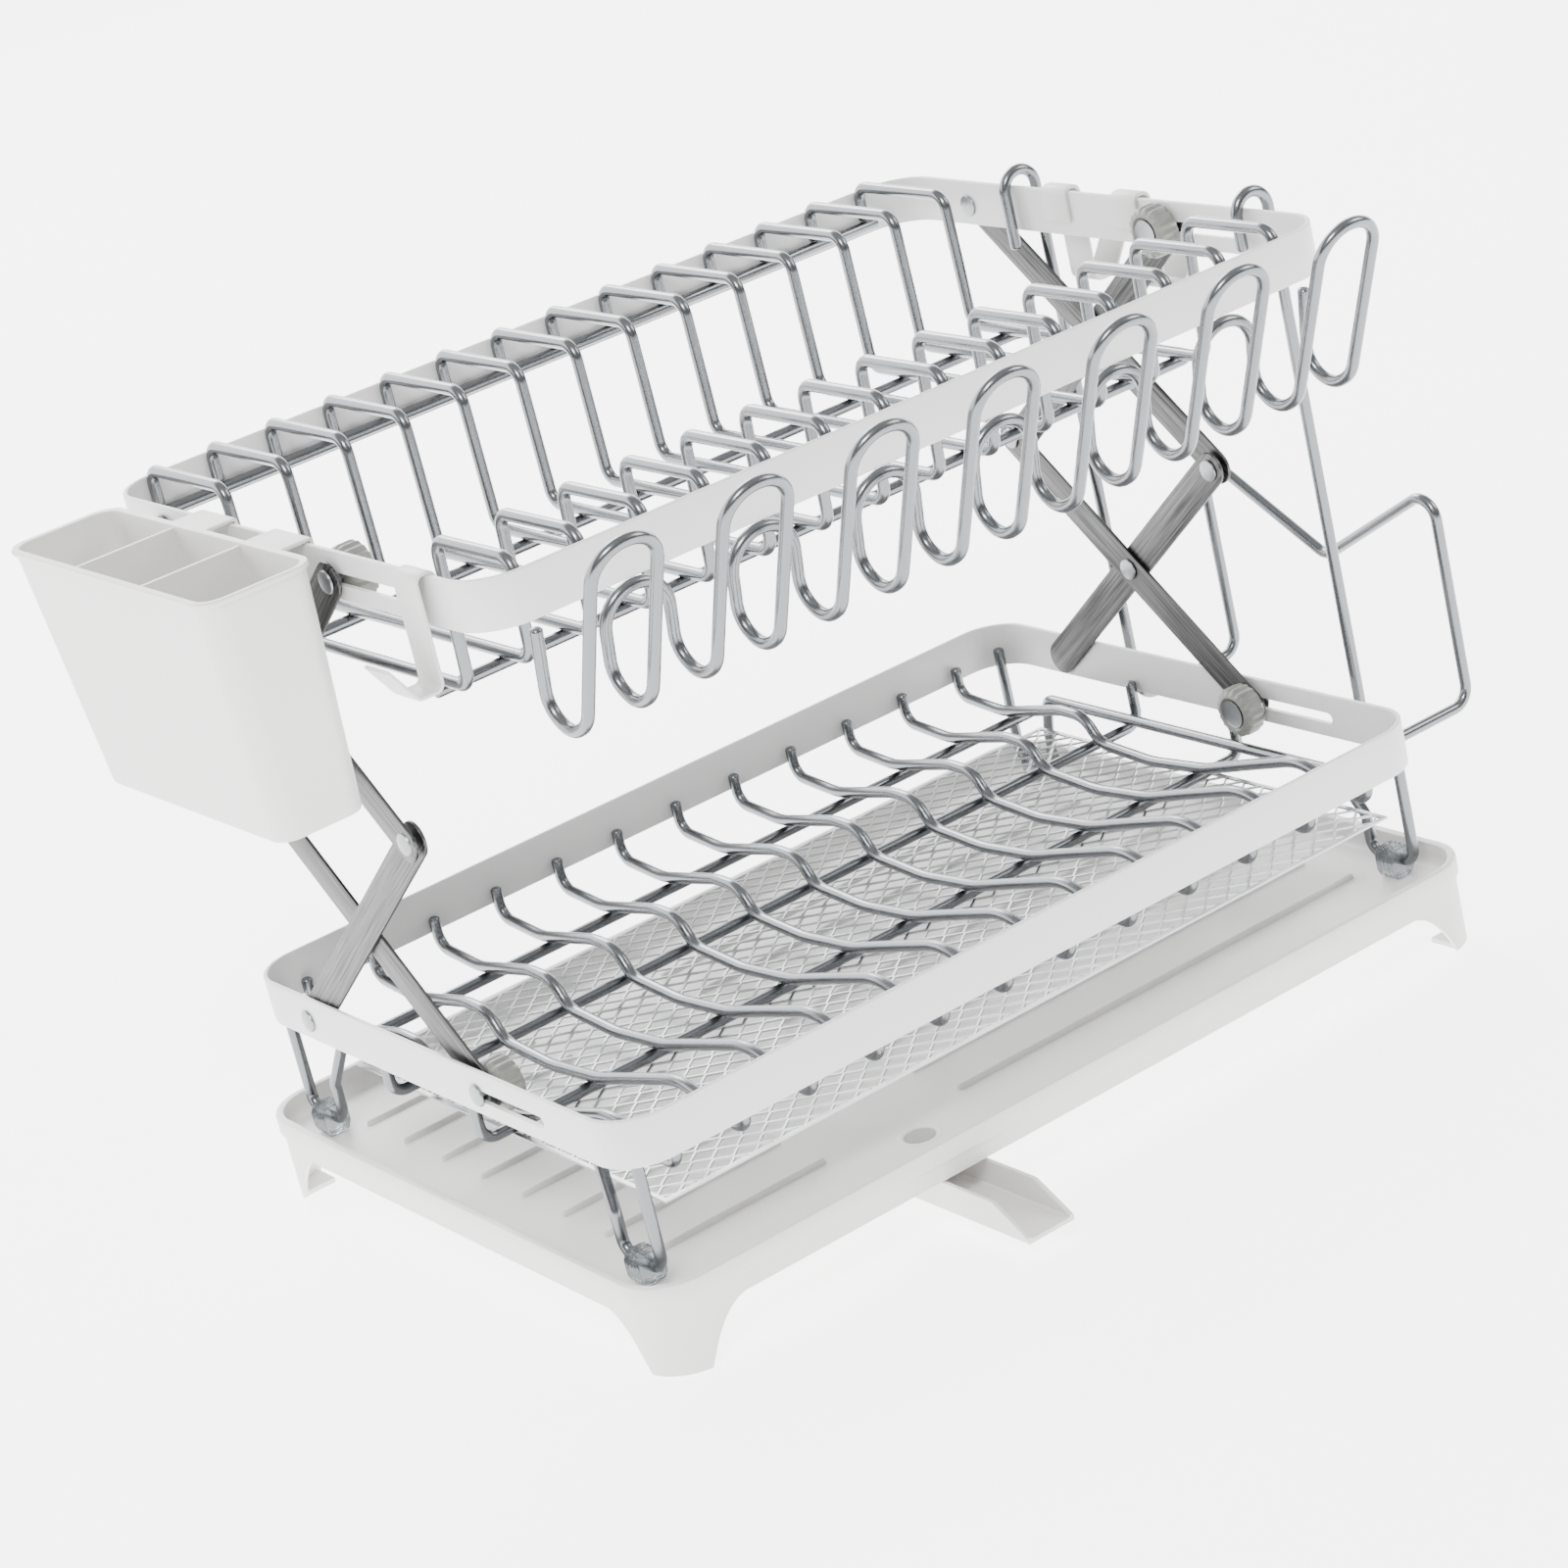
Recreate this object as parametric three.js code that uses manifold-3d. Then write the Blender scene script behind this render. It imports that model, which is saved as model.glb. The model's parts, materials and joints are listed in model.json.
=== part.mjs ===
// Two-tier collapsible dish drying rack: a drip tray with a swivelling drain spout, a lower plate
// rack standing in it, an upper basket carried on two scissor linkages, and the pieces that hang on
// the basket. Millimetres, +Z up, origin on the counter under the middle of the whole object.
// The pieces are placed from the middle of the tray, and the group is shifted at the end.
import * as THREE from "three";
import { mergeVertices } from "three/addons/utils/BufferGeometryUtils.js";
import Module from "manifold-3d";

const wasm = await Module();
wasm.setup();

// ---- Driving dimensions ------------------------------------------------------------------------
const GAP = 0.3; // clearance between pieces that touch
const RUN = 0.4; // radial clearance of a pin in its hole

const BAND = { length: 430, depth: 296, height: 20.9, wall: 2, corner: 22 };
const LOWER_BAND_Z = 86; // underside of the lower band
const UPPER_BAND_Z = 310.3; // underside of the upper band
const PIN_RISE = 9.35; // pin axes above the underside of their band

const TRAY = {
  sideMargin: 9, // tray edge beyond the band, along X
  endMargin: 10.4, // tray edge beyond the band, along Y
  rimTop: 40.3,
  stepZ: 32, // where the skirt steps in under the rim
  skirtZ: 24, // underside of the skirt between the feet
  floorTop: 30,
  floorThick: 2,
  wall: 2.4,
  corner: 24,
  step: 1.5,
  footRun: 41, // length of a foot along each side, from the outer corner
  footToe: 19, // the same at the counter
  ribHeight: 2.2,
  ribWidth: 3,
  ribCount: 8,
  ribPitch: 31.7,
  ribInset: 30,
};
const DRAIN = { x: -68.5, inset: 32.4, bore: 7, pipe: 9.7, channel: 71 };
const SPOUT = { width: 24, wall: 1.8, bottom: 8, top: 22, reach: 79, slope: 20 };

const WIRE = 5.2; // diameter of the rack wires
const BEND = 7; // usual bend radius of a wire's centre line
const SIDES = 6; // sides of a wire's section

const PLATE_WIRES = { count: 12, leftSpace: 25, rightSpace: 33.2 };
const BASKET_WIRES = { count: 14, leftSpace: 20.3, rightSpace: 28.8, drop: 61 };
const HANGER = { count: 14, endSpace: 21, rise: 36, reach: 52, drop: 42 };

const BAR = { width: 16, thick: 1.6 };
const PIN_R = 2.2; // rivet and knob shafts
const HEAD_R = 5;
const HEAD_THICK = 1.4;
const REAR_PIVOT_INSET = 51; // rear pivots from the rear face of the bands
const FRONT_PIN_INSET = 107; // front pins from the front face of the bands, unfolded
const SLOT_TRAVEL = 47; // how far the front pins can run forwards
const KNOB = { radius: 12, lobe: 0.6, lobes: 10, thick: 11.5 };

const CUP = { length: 168, depth: 49, height: 105, draftX: 9, draftY: 9, wall: 2, rise: 4, gap: 15 };
const TAB = { width: 28, thick: 1.6, lip: 14, spots: [52, -9] };
const HOOK = { width: 17, thick: 1.6, drop: 42, toe: 20, lip: 15 };
const HOLDER = { front: -95, rear: 63, low: 74, reach: 62, peak: 177, dip: 134, crown: 337 };

const FINISH = {
  tray: finish(0xece9e2, 0.45, 0),
  paint: finish(0xe6e6e4, 0.4, 0),
  chrome: finish(0xb9bcc0, 0.28, 1),
  steel: finish(0x77787a, 0.42, 1),
  knob: finish(0x8d8f86, 0.5, 0),
  mesh: finish(0xc9ccd0, 0.35, 1),
  clear: finish(0xdfe4e6, 0.15, 0),
};

// ---- Values worked out from them ---------------------------------------------------------------
const HALF_L = BAND.length / 2;
const HALF_D = BAND.depth / 2;
const INNER_L = HALF_L - BAND.wall;
const INNER_D = HALF_D - BAND.wall;
const WIRE_R = WIRE / 2;
const WELD_D = INNER_D - WIRE_R - GAP; // y of a wire lying against the inside of a band
const PITCH_Z = WIRE + GAP; // centre distance of wires that cross and touch
const FLAT_PITCH = WIRE * Math.cos(Math.PI / SIDES) + GAP; // the same where two flats face

const PIVOT_Y = HALF_D - REAR_PIVOT_INSET;
const SLIDE_Y = -HALF_D + FRONT_PIN_INSET;
const LOW_Z = LOWER_BAND_Z + PIN_RISE;
const HIGH_Z = UPPER_BAND_Z + PIN_RISE;
const MID_Z = (LOW_Z + HIGH_Z) / 2;
const BAR_PITCH = Math.hypot(PIVOT_Y - SLIDE_Y, MID_Z - LOW_Z);
const BAR_ANGLE = Math.atan2(MID_Z - LOW_Z, PIVOT_Y - SLIDE_Y);

// Distances from the middle plane of the rack to the inner face of each layer of the linkage.
const LAYER = {
  b: INNER_L - GAP - BAR.thick,
  a: INNER_L - 2 * (GAP + BAR.thick),
  c: HALF_L + GAP + 0.1,
  d: HALF_L + 2 * GAP + 0.1 + BAR.thick,
};

function finish(color, roughness, metalness) {
  return new THREE.MeshStandardMaterial({ color, roughness, metalness });
}

const at = (x, y, z) => new THREE.Vector3(x, y, z);
const rack = new THREE.Group();

// ---- Solids ------------------------------------------------------------------------------------
// A closed geometry as a solid that can be joined and cut.
function solid(geometry) {
  const bare = geometry.clone();
  bare.deleteAttribute("normal");
  bare.deleteAttribute("uv");
  const merged = mergeVertices(bare, 1e-4);
  return new wasm.Manifold(
    new wasm.Mesh({
      numProp: 3,
      vertProperties: new Float32Array(merged.attributes.position.array),
      triVerts: new Uint32Array(merged.index.array),
    }),
  );
}

function geometryOf(body) {
  const { vertProperties, triVerts } = body.getMesh();
  const geometry = new THREE.BufferGeometry();
  geometry.setAttribute("position", new THREE.BufferAttribute(vertProperties, 3));
  geometry.setIndex(new THREE.BufferAttribute(triVerts, 1));
  geometry.computeVertexNormals();
  return geometry;
}

// Adds a named piece to a group; shape is a geometry or a solid.
function piece(name, shape, material, group = rack) {
  const geometry = shape.isBufferGeometry ? shape : geometryOf(shape);
  const mesh = new THREE.Mesh(geometry, material);
  mesh.name = name;
  group.add(mesh);
  return mesh;
}

function join(...geometries) {
  return geometries.map(solid).reduce((sum, next) => sum.add(next));
}

// A rectangle with round corners, centred on the origin.
function roundedRectangle(length, depth, radius) {
  const x = length / 2 - radius;
  const y = depth / 2 - radius;
  const shape = new THREE.Shape();
  shape.absarc(x, y, radius, 0, Math.PI / 2);
  shape.absarc(-x, y, radius, Math.PI / 2, Math.PI);
  shape.absarc(-x, -y, radius, Math.PI, 1.5 * Math.PI);
  shape.absarc(x, -y, radius, 1.5 * Math.PI, 2 * Math.PI);
  return shape;
}

function slab(shape, low, high, curveSegments = 5) {
  const settings = { depth: high - low, bevelEnabled: false, curveSegments };
  return new THREE.ExtrudeGeometry(shape, settings).translate(0, 0, low);
}

// An outline in (y, z) carried along X from one x to another.
function alongX(shape, from, to, curveSegments = 5) {
  const geometry = slab(shape, 0, to - from, curveSegments);
  const turn = new THREE.Matrix4().makeBasis(at(0, 1, 0), at(0, 0, 1), at(1, 0, 0));
  return geometry.applyMatrix4(turn).translate(from, 0, 0);
}

// An outline in (x, z) carried along Y from one y to another.
function alongY(shape, from, to) {
  const turn = new THREE.Matrix4().makeBasis(at(1, 0, 0), at(0, 0, 1), at(0, -1, 0));
  return slab(shape, 0, to - from).applyMatrix4(turn).translate(0, to, 0);
}

function block(low, high) {
  const size = high.clone().sub(low);
  const middle = high.clone().add(low).multiplyScalar(0.5);
  return new THREE.BoxGeometry(size.x, size.y, size.z).translate(middle.x, middle.y, middle.z);
}

function disc(radius, thick, sides = 12) {
  const rod = new THREE.CylinderGeometry(radius, radius, thick, sides);
  return rod.rotateX(Math.PI / 2).translate(0, 0, thick / 2);
}

function polygon(points) {
  return new THREE.Shape(points.map(([x, y]) => new THREE.Vector2(x, y)));
}

// A round-ended strip between two points of its own plane.
function strip(length, width) {
  const r = width / 2;
  const shape = new THREE.Shape();
  shape.absarc(length, 0, r, -Math.PI / 2, Math.PI / 2);
  shape.absarc(0, 0, r, Math.PI / 2, 1.5 * Math.PI);
  return shape;
}

// ---- Wires -------------------------------------------------------------------------------------
// A centre line given by its knots; the section is swept from knot to knot.
class WirePath extends THREE.Curve {
  constructor(knots) {
    super();
    this.knots = knots;
  }
  getPoint(t, target = at(0, 0, 0)) {
    const place = t * (this.knots.length - 1);
    const i = Math.min(Math.floor(place), this.knots.length - 2);
    return target.lerpVectors(this.knots[i], this.knots[i + 1], place - i);
  }
  getSpacedPoints() {
    return this.knots.map((knot) => knot.clone());
  }
  getTangentAt(u, target = at(0, 0, 0)) {
    const i = Math.round(u * (this.knots.length - 1));
    const before = this.knots[Math.max(i - 1, 0)];
    const here = this.knots[i];
    const after = this.knots[Math.min(i + 1, this.knots.length - 1)];
    const arriving = here.clone().sub(before).normalize();
    const leaving = after.clone().sub(here).normalize();
    return target.copy(arriving).add(leaving).normalize();
  }
}

// The arc that rounds the corner at b between a and c.
function cornerKnots(a, b, c, radius) {
  const back = a.clone().sub(b);
  const on = c.clone().sub(b);
  const room = 0.49 * Math.min(back.length(), on.length());
  back.normalize();
  on.normalize();
  const turn = Math.PI - back.angleTo(on);
  if (turn < 0.02) return [b];
  const reach = Math.min(radius * Math.tan(turn / 2), room);
  const r = reach / Math.tan(turn / 2);
  const centre = b.clone().addScaledVector(back.clone().add(on).normalize(), r / Math.cos(turn / 2));
  const axis = on.clone().cross(back).normalize();
  const start = b.clone().addScaledVector(back, reach).sub(centre);
  const steps = Math.max(1, Math.ceil(turn / 0.8));
  return Array.from({ length: steps + 1 }, (_, i) =>
    start.clone().applyAxisAngle(axis, (turn * i) / steps).add(centre),
  );
}

function wire(points, radius = BEND, diameter = WIRE, sides = SIDES) {
  const knots = points.flatMap((point, i) => {
    if (i === 0 || i === points.length - 1) return [point];
    return cornerKnots(points[i - 1], point, points[i + 1], radius);
  });
  const section = Array.from({ length: sides }, (_, i) => {
    const angle = (2 * Math.PI * (i + 0.5)) / sides;
    return [(diameter / 2) * Math.cos(angle), (diameter / 2) * Math.sin(angle)];
  });
  const extrudePath = new WirePath(knots);
  return new THREE.ExtrudeGeometry(polygon(section), { steps: knots.length - 1, extrudePath });
}

const inPlane = (x, outline) => outline.map(([y, z]) => at(x, y, z));
const spread = (from, to, count, i) => from + ((to - from) * i) / (count - 1);
const numbered = (name, i) => name + "_" + String(i + 1).padStart(2, "0");

// ---- Drip tray and spout -----------------------------------------------------------------------
const TRAY_L = BAND.length + 2 * TRAY.sideMargin;
const TRAY_D = BAND.depth + 2 * TRAY.endMargin;
const DRAIN_Y = -TRAY_D / 2 + DRAIN.inset;

function trayOutline(inset) {
  return roundedRectangle(TRAY_L - 2 * inset, TRAY_D - 2 * inset, TRAY.corner - inset);
}

// The arch between two feet: wide at the top, with a swept shoulder down to each toe.
function archOutline(half) {
  const toe = half - TRAY.footToe;
  const knee = half - TRAY.footToe - 9;
  const shoulder = half - TRAY.footRun;
  const shape = new THREE.Shape();
  shape.moveTo(-toe, -1);
  shape.lineTo(toe, -1);
  shape.quadraticCurveTo(knee, TRAY.skirtZ - 3, shoulder, TRAY.skirtZ);
  shape.lineTo(-shoulder, TRAY.skirtZ);
  shape.quadraticCurveTo(-knee, TRAY.skirtZ - 3, -toe, -1);
  return shape;
}

function trayRibs() {
  const left = [-TRAY_L / 2 + TRAY.ribInset, DRAIN.x - DRAIN.channel / 2];
  const right = [DRAIN.x + DRAIN.channel / 2, TRAY_L / 2 - TRAY.ribInset];
  const ribs = [];
  for (let i = 0; i < TRAY.ribCount; i += 1) {
    const y = TRAY_D / 2 - 43.9 - TRAY.ribPitch * i;
    for (const [from, to] of [left, right]) {
      const low = at(from, y - TRAY.ribWidth / 2, TRAY.floorTop - 1);
      const high = at(to, y + TRAY.ribWidth / 2, TRAY.floorTop + TRAY.ribHeight);
      ribs.push(block(low, high));
    }
  }
  return ribs;
}

function dripTray() {
  const underFloor = TRAY.floorTop - TRAY.floorThick;
  const hollow = TRAY.step + TRAY.wall;
  let body = join(
    slab(trayOutline(TRAY.step), 0, TRAY.stepZ + 1),
    slab(trayOutline(0), TRAY.stepZ, TRAY.rimTop),
  );
  body = body.subtract(solid(slab(trayOutline(hollow), TRAY.floorTop, TRAY.rimTop + 1)));
  body = body.subtract(solid(slab(trayOutline(hollow), -1, underFloor)));
  body = body.subtract(solid(alongX(archOutline(TRAY_D / 2), -TRAY_L, TRAY_L)));
  body = body.subtract(solid(alongY(archOutline(TRAY_L / 2), -TRAY_D, TRAY_D)));
  const padX = TRAY_L / 2 - TRAY.footToe;
  const padY = TRAY_D / 2 - TRAY.footToe;
  const plate = solid(slab(trayOutline(TRAY.step + 0.5), 0, TRAY.wall));
  for (const [sx, sy] of [[1, 1], [1, -1], [-1, 1], [-1, -1]]) {
    const low = at(Math.min(sx * padX, sx * TRAY_L), Math.min(sy * padY, sy * TRAY_D), -1);
    const high = at(Math.max(sx * padX, sx * TRAY_L), Math.max(sy * padY, sy * TRAY_D), TRAY.rimTop);
    body = body.add(plate.intersect(solid(block(low, high))));
  }
  for (const rib of trayRibs()) body = body.add(solid(rib));
  const pipeEnd = SPOUT.bottom + SPOUT.wall + 3;
  const pipe = disc(DRAIN.pipe, underFloor + 1 - pipeEnd, 20).translate(DRAIN.x, DRAIN_Y, pipeEnd);
  const bore = disc(DRAIN.bore, TRAY.rimTop, 16).translate(DRAIN.x, DRAIN_Y, pipeEnd - 1);
  return body.add(solid(pipe)).subtract(solid(bore));
}

// The open channel that hangs on the drain pipe and runs out under the skirt.
function drainSpout() {
  const outline = (half, tip) => {
    const shape = new THREE.Shape();
    shape.absarc(0, 0, half, 0, Math.PI);
    shape.lineTo(-half, -tip);
    shape.lineTo(half, -tip);
    return shape;
  };
  const half = SPOUT.width / 2;
  const inner = half - SPOUT.wall;
  const trough = SPOUT.bottom + SPOUT.wall;
  let body = solid(slab(outline(half, SPOUT.reach), SPOUT.bottom, SPOUT.top, 8));
  body = body.subtract(solid(slab(outline(inner, SPOUT.reach + 5), trough, SPOUT.top + 1, 8)));
  const lip = SPOUT.bottom + SPOUT.wall + 1;
  const cut = polygon([
    [-SPOUT.reach - 1, lip],
    [-SPOUT.reach + SPOUT.slope, SPOUT.top + 1],
    [-SPOUT.reach - 1, SPOUT.top + 1],
  ]);
  body = body.subtract(solid(alongX(cut, -half - 1, half + 1)));
  return body;
}

piece("drip_tray", dripTray(), FINISH.tray);
piece("drain_spout", drainSpout(), FINISH.tray).position.set(DRAIN.x, DRAIN_Y, 0);

// ---- Bands -------------------------------------------------------------------------------------
// A rounded strip frame with a pivot hole and a slot at each end.
function band(low) {
  const outer = roundedRectangle(BAND.length, BAND.depth, BAND.corner);
  const inset = 2 * BAND.wall;
  const radius = BAND.corner - BAND.wall;
  outer.holes.push(roundedRectangle(BAND.length - inset, BAND.depth - inset, radius));
  const slot = strip(SLOT_TRAVEL, 2 * (PIN_R + RUN));
  const cutSlot = alongX(slot, -HALF_L - 1, HALF_L + 1, 4);
  cutSlot.translate(0, SLIDE_Y - SLOT_TRAVEL, low + PIN_RISE);
  const hole = disc(PIN_R + RUN, BAND.length + 2).rotateY(Math.PI / 2);
  hole.translate(-HALF_L - 1, PIVOT_Y, low + PIN_RISE);
  return solid(slab(outer, low, low + BAND.height)).subtract(join(cutSlot, hole));
}

piece("lower_band", band(LOWER_BAND_Z), FINISH.paint);
piece("upper_band", band(UPPER_BAND_Z), FINISH.paint);

// ---- Lower plate rack --------------------------------------------------------------------------
const PEG_TOP = LOW_Z - 1;
const TROUGH_Z = LOWER_BAND_Z - 15.5;
// One plate wire: pegs inside the band at both ends and two humps between them.
const PLATE_WIRE = [
  [WELD_D, PEG_TOP],
  [WELD_D, TROUGH_Z + 9],
  [HALF_D - 38, TROUGH_Z + 6.5],
  [HALF_D - 83, TROUGH_Z + 15],
  [HALF_D - 100, TROUGH_Z + 14.5],
  [HALF_D - 108, TROUGH_Z + 2.5],
  [HALF_D - 145, TROUGH_Z],
  [-HALF_D + 113, TROUGH_Z + 3.5],
  [-HALF_D + 81, TROUGH_Z + 11.5],
  [-HALF_D + 48, TROUGH_Z + 19.5],
  [-WELD_D, TROUGH_Z + 7],
  [-WELD_D, PEG_TOP],
];

for (let i = 0; i < PLATE_WIRES.count; i += 1) {
  const from = -HALF_L + PLATE_WIRES.leftSpace;
  const to = HALF_L - PLATE_WIRES.rightSpace;
  const x = spread(from, to, PLATE_WIRES.count, i);
  piece(numbered("plate_wire", i), wire(inPlane(x, PLATE_WIRE)), FINISH.chrome);
}

// Long wires under the plate wires; two of them turn up inside the ends of the band.
const END_PEG_X = INNER_L - WIRE_R - GAP;
const LONG_WIRES = [
  { name: "rear_long_wire", y: HALF_D - 40, z: TROUGH_Z + 6.7 - PITCH_Z, pegs: false },
  { name: "middle_long_wire", y: HALF_D - 102, z: TROUGH_Z + 0.1, pegs: true },
  { name: "front_long_wire", y: -HALF_D + 123.5, z: TROUGH_Z + 2.2 - PITCH_Z, pegs: true },
];
const MESH_TOP = TROUGH_Z + 2.2 - PITCH_Z - WIRE_R - GAP;

for (const { name, y, z, pegs } of LONG_WIRES) {
  const end = pegs ? END_PEG_X : INNER_L - 17;
  const lift = pegs ? [at(end, y, PEG_TOP - 2)] : [];
  const sink = pegs ? [at(-end, y, PEG_TOP - 2)] : [];
  piece(name, wire([...sink, at(-end, y, z), at(end, y, z), ...lift]), FINISH.chrome);
}

const MESH = { sideSpace: 19, rearSpace: 44, frontSpace: 12, thick: 1 };
function drainMesh() {
  const low = at(-HALF_L + MESH.sideSpace, -HALF_D + MESH.frontSpace, MESH_TOP - MESH.thick);
  const high = at(HALF_L - MESH.sideSpace, HALF_D - MESH.rearSpace, MESH_TOP);
  return block(low, high);
}
piece("drain_mesh", drainMesh(), FINISH.mesh);

// ---- Legs and their feet -----------------------------------------------------------------------
const FOOT_GAP = TRAY.floorTop + GAP;
const LEG_LOW = TRAY.floorTop + 8.6; // centre line of the wire along the bottom of a leg
const LEG_CORNER = (BAND.corner - BAND.wall - WIRE_R - GAP) * Math.SQRT1_2;
const LEG_X = HALF_L - BAND.corner + LEG_CORNER;
const LEG_Y = HALF_D - BAND.corner + LEG_CORNER;
const LEG_RISER_Y = LEG_Y - 27;
const LEG_RUN_X = LEG_X - 4;
const LEG_RUN_Z = TROUGH_Z + 6.7;
const LEG_RUN_Y = LEG_RISER_Y - 10;

function legWire(side) {
  const half = [
    at(side * LEG_X, LEG_Y, LOW_Z + 1),
    at(side * LEG_X, LEG_Y, LEG_LOW),
    at(side * LEG_X, LEG_RISER_Y, LEG_LOW),
    at(side * LEG_X, LEG_RISER_Y, LEG_LOW + 18),
    at(side * LEG_RUN_X, LEG_RUN_Y, LEG_RUN_Z),
  ];
  const other = half.map((p) => at(p.x, -p.y, p.z)).reverse();
  return wire([...half, ...other], BEND);
}

// A clip of clear plastic round the bottom of a leg; the tray floor is just under it.
function footSleeve() {
  const sleeve = { length: 12.4, width: 13, height: 14, chamfer: 3 };
  const x = sleeve.width / 2;
  const z = sleeve.height;
  const outline = polygon([
    [-x, 0],
    [x, 0],
    [x, z - sleeve.chamfer],
    [x - sleeve.chamfer, z],
    [-x + sleeve.chamfer, z],
    [-x, z - sleeve.chamfer],
  ]);
  const body = solid(alongY(outline, -sleeve.length / 2, sleeve.length / 2));
  const bore = disc(WIRE_R + GAP + 0.1, sleeve.length + 2, 12);
  bore.rotateX(Math.PI / 2).translate(0, sleeve.length / 2 + 1, LEG_LOW - FOOT_GAP);
  return body.subtract(solid(bore));
}

const SIDE = { left: -1, right: 1 };
const END = { front: -1, rear: 1 };
for (const [sideName, side] of Object.entries(SIDE)) {
  piece(sideName + "_leg_wire", legWire(side), FINISH.chrome);
  for (const [endName, end] of Object.entries(END)) {
    const sleeve = piece(`${endName}_${sideName}_foot`, footSleeve(), FINISH.clear);
    sleeve.position.set(side * LEG_X, end * (LEG_Y - 13.5), FOOT_GAP);
  }
}

// ---- Scissor linkage ---------------------------------------------------------------------------
// Bars are drawn flat: the first pin at the origin, the last along +X, thickness along +Z.
// A rivet is a shaft from one height to another with a head at its far end.
function rivet(place, from, to) {
  const span = Math.abs(to - from);
  const shaft = disc(PIN_R, span + HEAD_THICK / 2).translate(place, 0, Math.min(from, to));
  const head = disc(HEAD_R, HEAD_THICK, 14).translate(place, 0, to > from ? to : to - HEAD_THICK);
  if (to < from) shaft.translate(0, 0, -HEAD_THICK / 2);
  return [shaft, head];
}

function bar(holes, extras) {
  let body = solid(slab(strip(BAR_PITCH, BAR.width), 0, BAR.thick, 6));
  for (const place of holes) {
    const hole = disc(PIN_R + RUN, BAR.thick + 2).translate(place, 0, -1);
    body = body.subtract(solid(hole));
  }
  for (const extra of extras) body = body.add(solid(extra));
  return body;
}

// Stands a flat bar up in its layer, from its first pin towards its last.
function placeBar(mesh, side, layer, y, z, angle) {
  const along = at(0, Math.cos(angle), Math.sin(angle));
  const out = at(side, 0, 0);
  const across = out.clone().cross(along);
  mesh.quaternion.setFromRotationMatrix(new THREE.Matrix4().makeBasis(along, across, out));
  mesh.position.set(side * layer, y, z);
}

const HALF_PITCH = BAR_PITCH / 2;
const through = (layer, face) => face - layer; // a face's height above the inner face of a layer
const spacer = (place, from, to) => disc(4, to - from).translate(place, 0, from);

// Rear-low to front-middle: riveted through the band and through its partner.
function barB() {
  const outside = through(LAYER.b, HALF_L + GAP);
  const inside = through(LAYER.b, LAYER.a - GAP);
  return bar([BAR_PITCH], [...rivet(0, 0.5, outside), ...rivet(HALF_PITCH, 0.5, inside)]);
}

// Front-low to rear-middle: slides in the lower band with its knob.
function barA() {
  return bar([0, HALF_PITCH, BAR_PITCH], []);
}

// Front-middle to rear-high: riveted through the upper band and through both partners.
function barC() {
  const toBand = through(LAYER.c, INNER_L - GAP);
  const toB = through(LAYER.c, LAYER.b - GAP);
  const past = through(LAYER.c, LAYER.d + BAR.thick + GAP);
  const gap = spacer(0, through(LAYER.c, LAYER.b + BAR.thick + GAP), 0.5);
  return bar([], [
    ...rivet(BAR_PITCH, 0.5, toBand),
    ...rivet(HALF_PITCH, 0.5, past),
    ...rivet(0, 0.5, toB),
    gap,
  ]);
}

// Rear-middle to front-high: slides in the upper band with its knob.
function barD() {
  const toA = through(LAYER.d, LAYER.a - GAP);
  const gap = spacer(0, through(LAYER.d, LAYER.a + BAR.thick + GAP), 0.5);
  return bar([HALF_PITCH, BAR_PITCH], [...rivet(0, 0.5, toA), gap]);
}

// A lobed thumb knob with its shaft; the knob is inboard and the head outboard.
function knob(seat, bandFace, headSeat) {
  const points = Array.from({ length: 4 * KNOB.lobes }, (_, i) => {
    const angle = (2 * Math.PI * i) / (4 * KNOB.lobes);
    const r = KNOB.radius - 1.5 + KNOB.lobe * Math.cos(KNOB.lobes * angle);
    return [r * Math.cos(angle), r * Math.sin(angle)];
  });
  const bevel = { bevelThickness: 2, bevelSize: 1.5, bevelSegments: 1 };
  const settings = { depth: KNOB.thick - 4, ...bevel };
  const grip = new THREE.ExtrudeGeometry(polygon(points), settings);
  grip.translate(0, 0, seat - KNOB.thick + 2);
  const shaft = disc(PIN_R, headSeat - seat + 2).translate(0, 0, seat - 1);
  const head = disc(HEAD_R, HEAD_THICK, 14).translate(0, 0, headSeat);
  const collar = disc(4, bandFace[1] - bandFace[0]).translate(0, 0, bandFace[0]);
  return join(grip, shaft, head, collar);
}

function placeKnob(mesh, side, y, z) {
  const out = at(side, 0, 0);
  const basis = new THREE.Matrix4().makeBasis(at(0, side, 0), at(0, 0, 1), out);
  mesh.quaternion.setFromRotationMatrix(basis);
  mesh.position.set(0, y, z);
}

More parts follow.
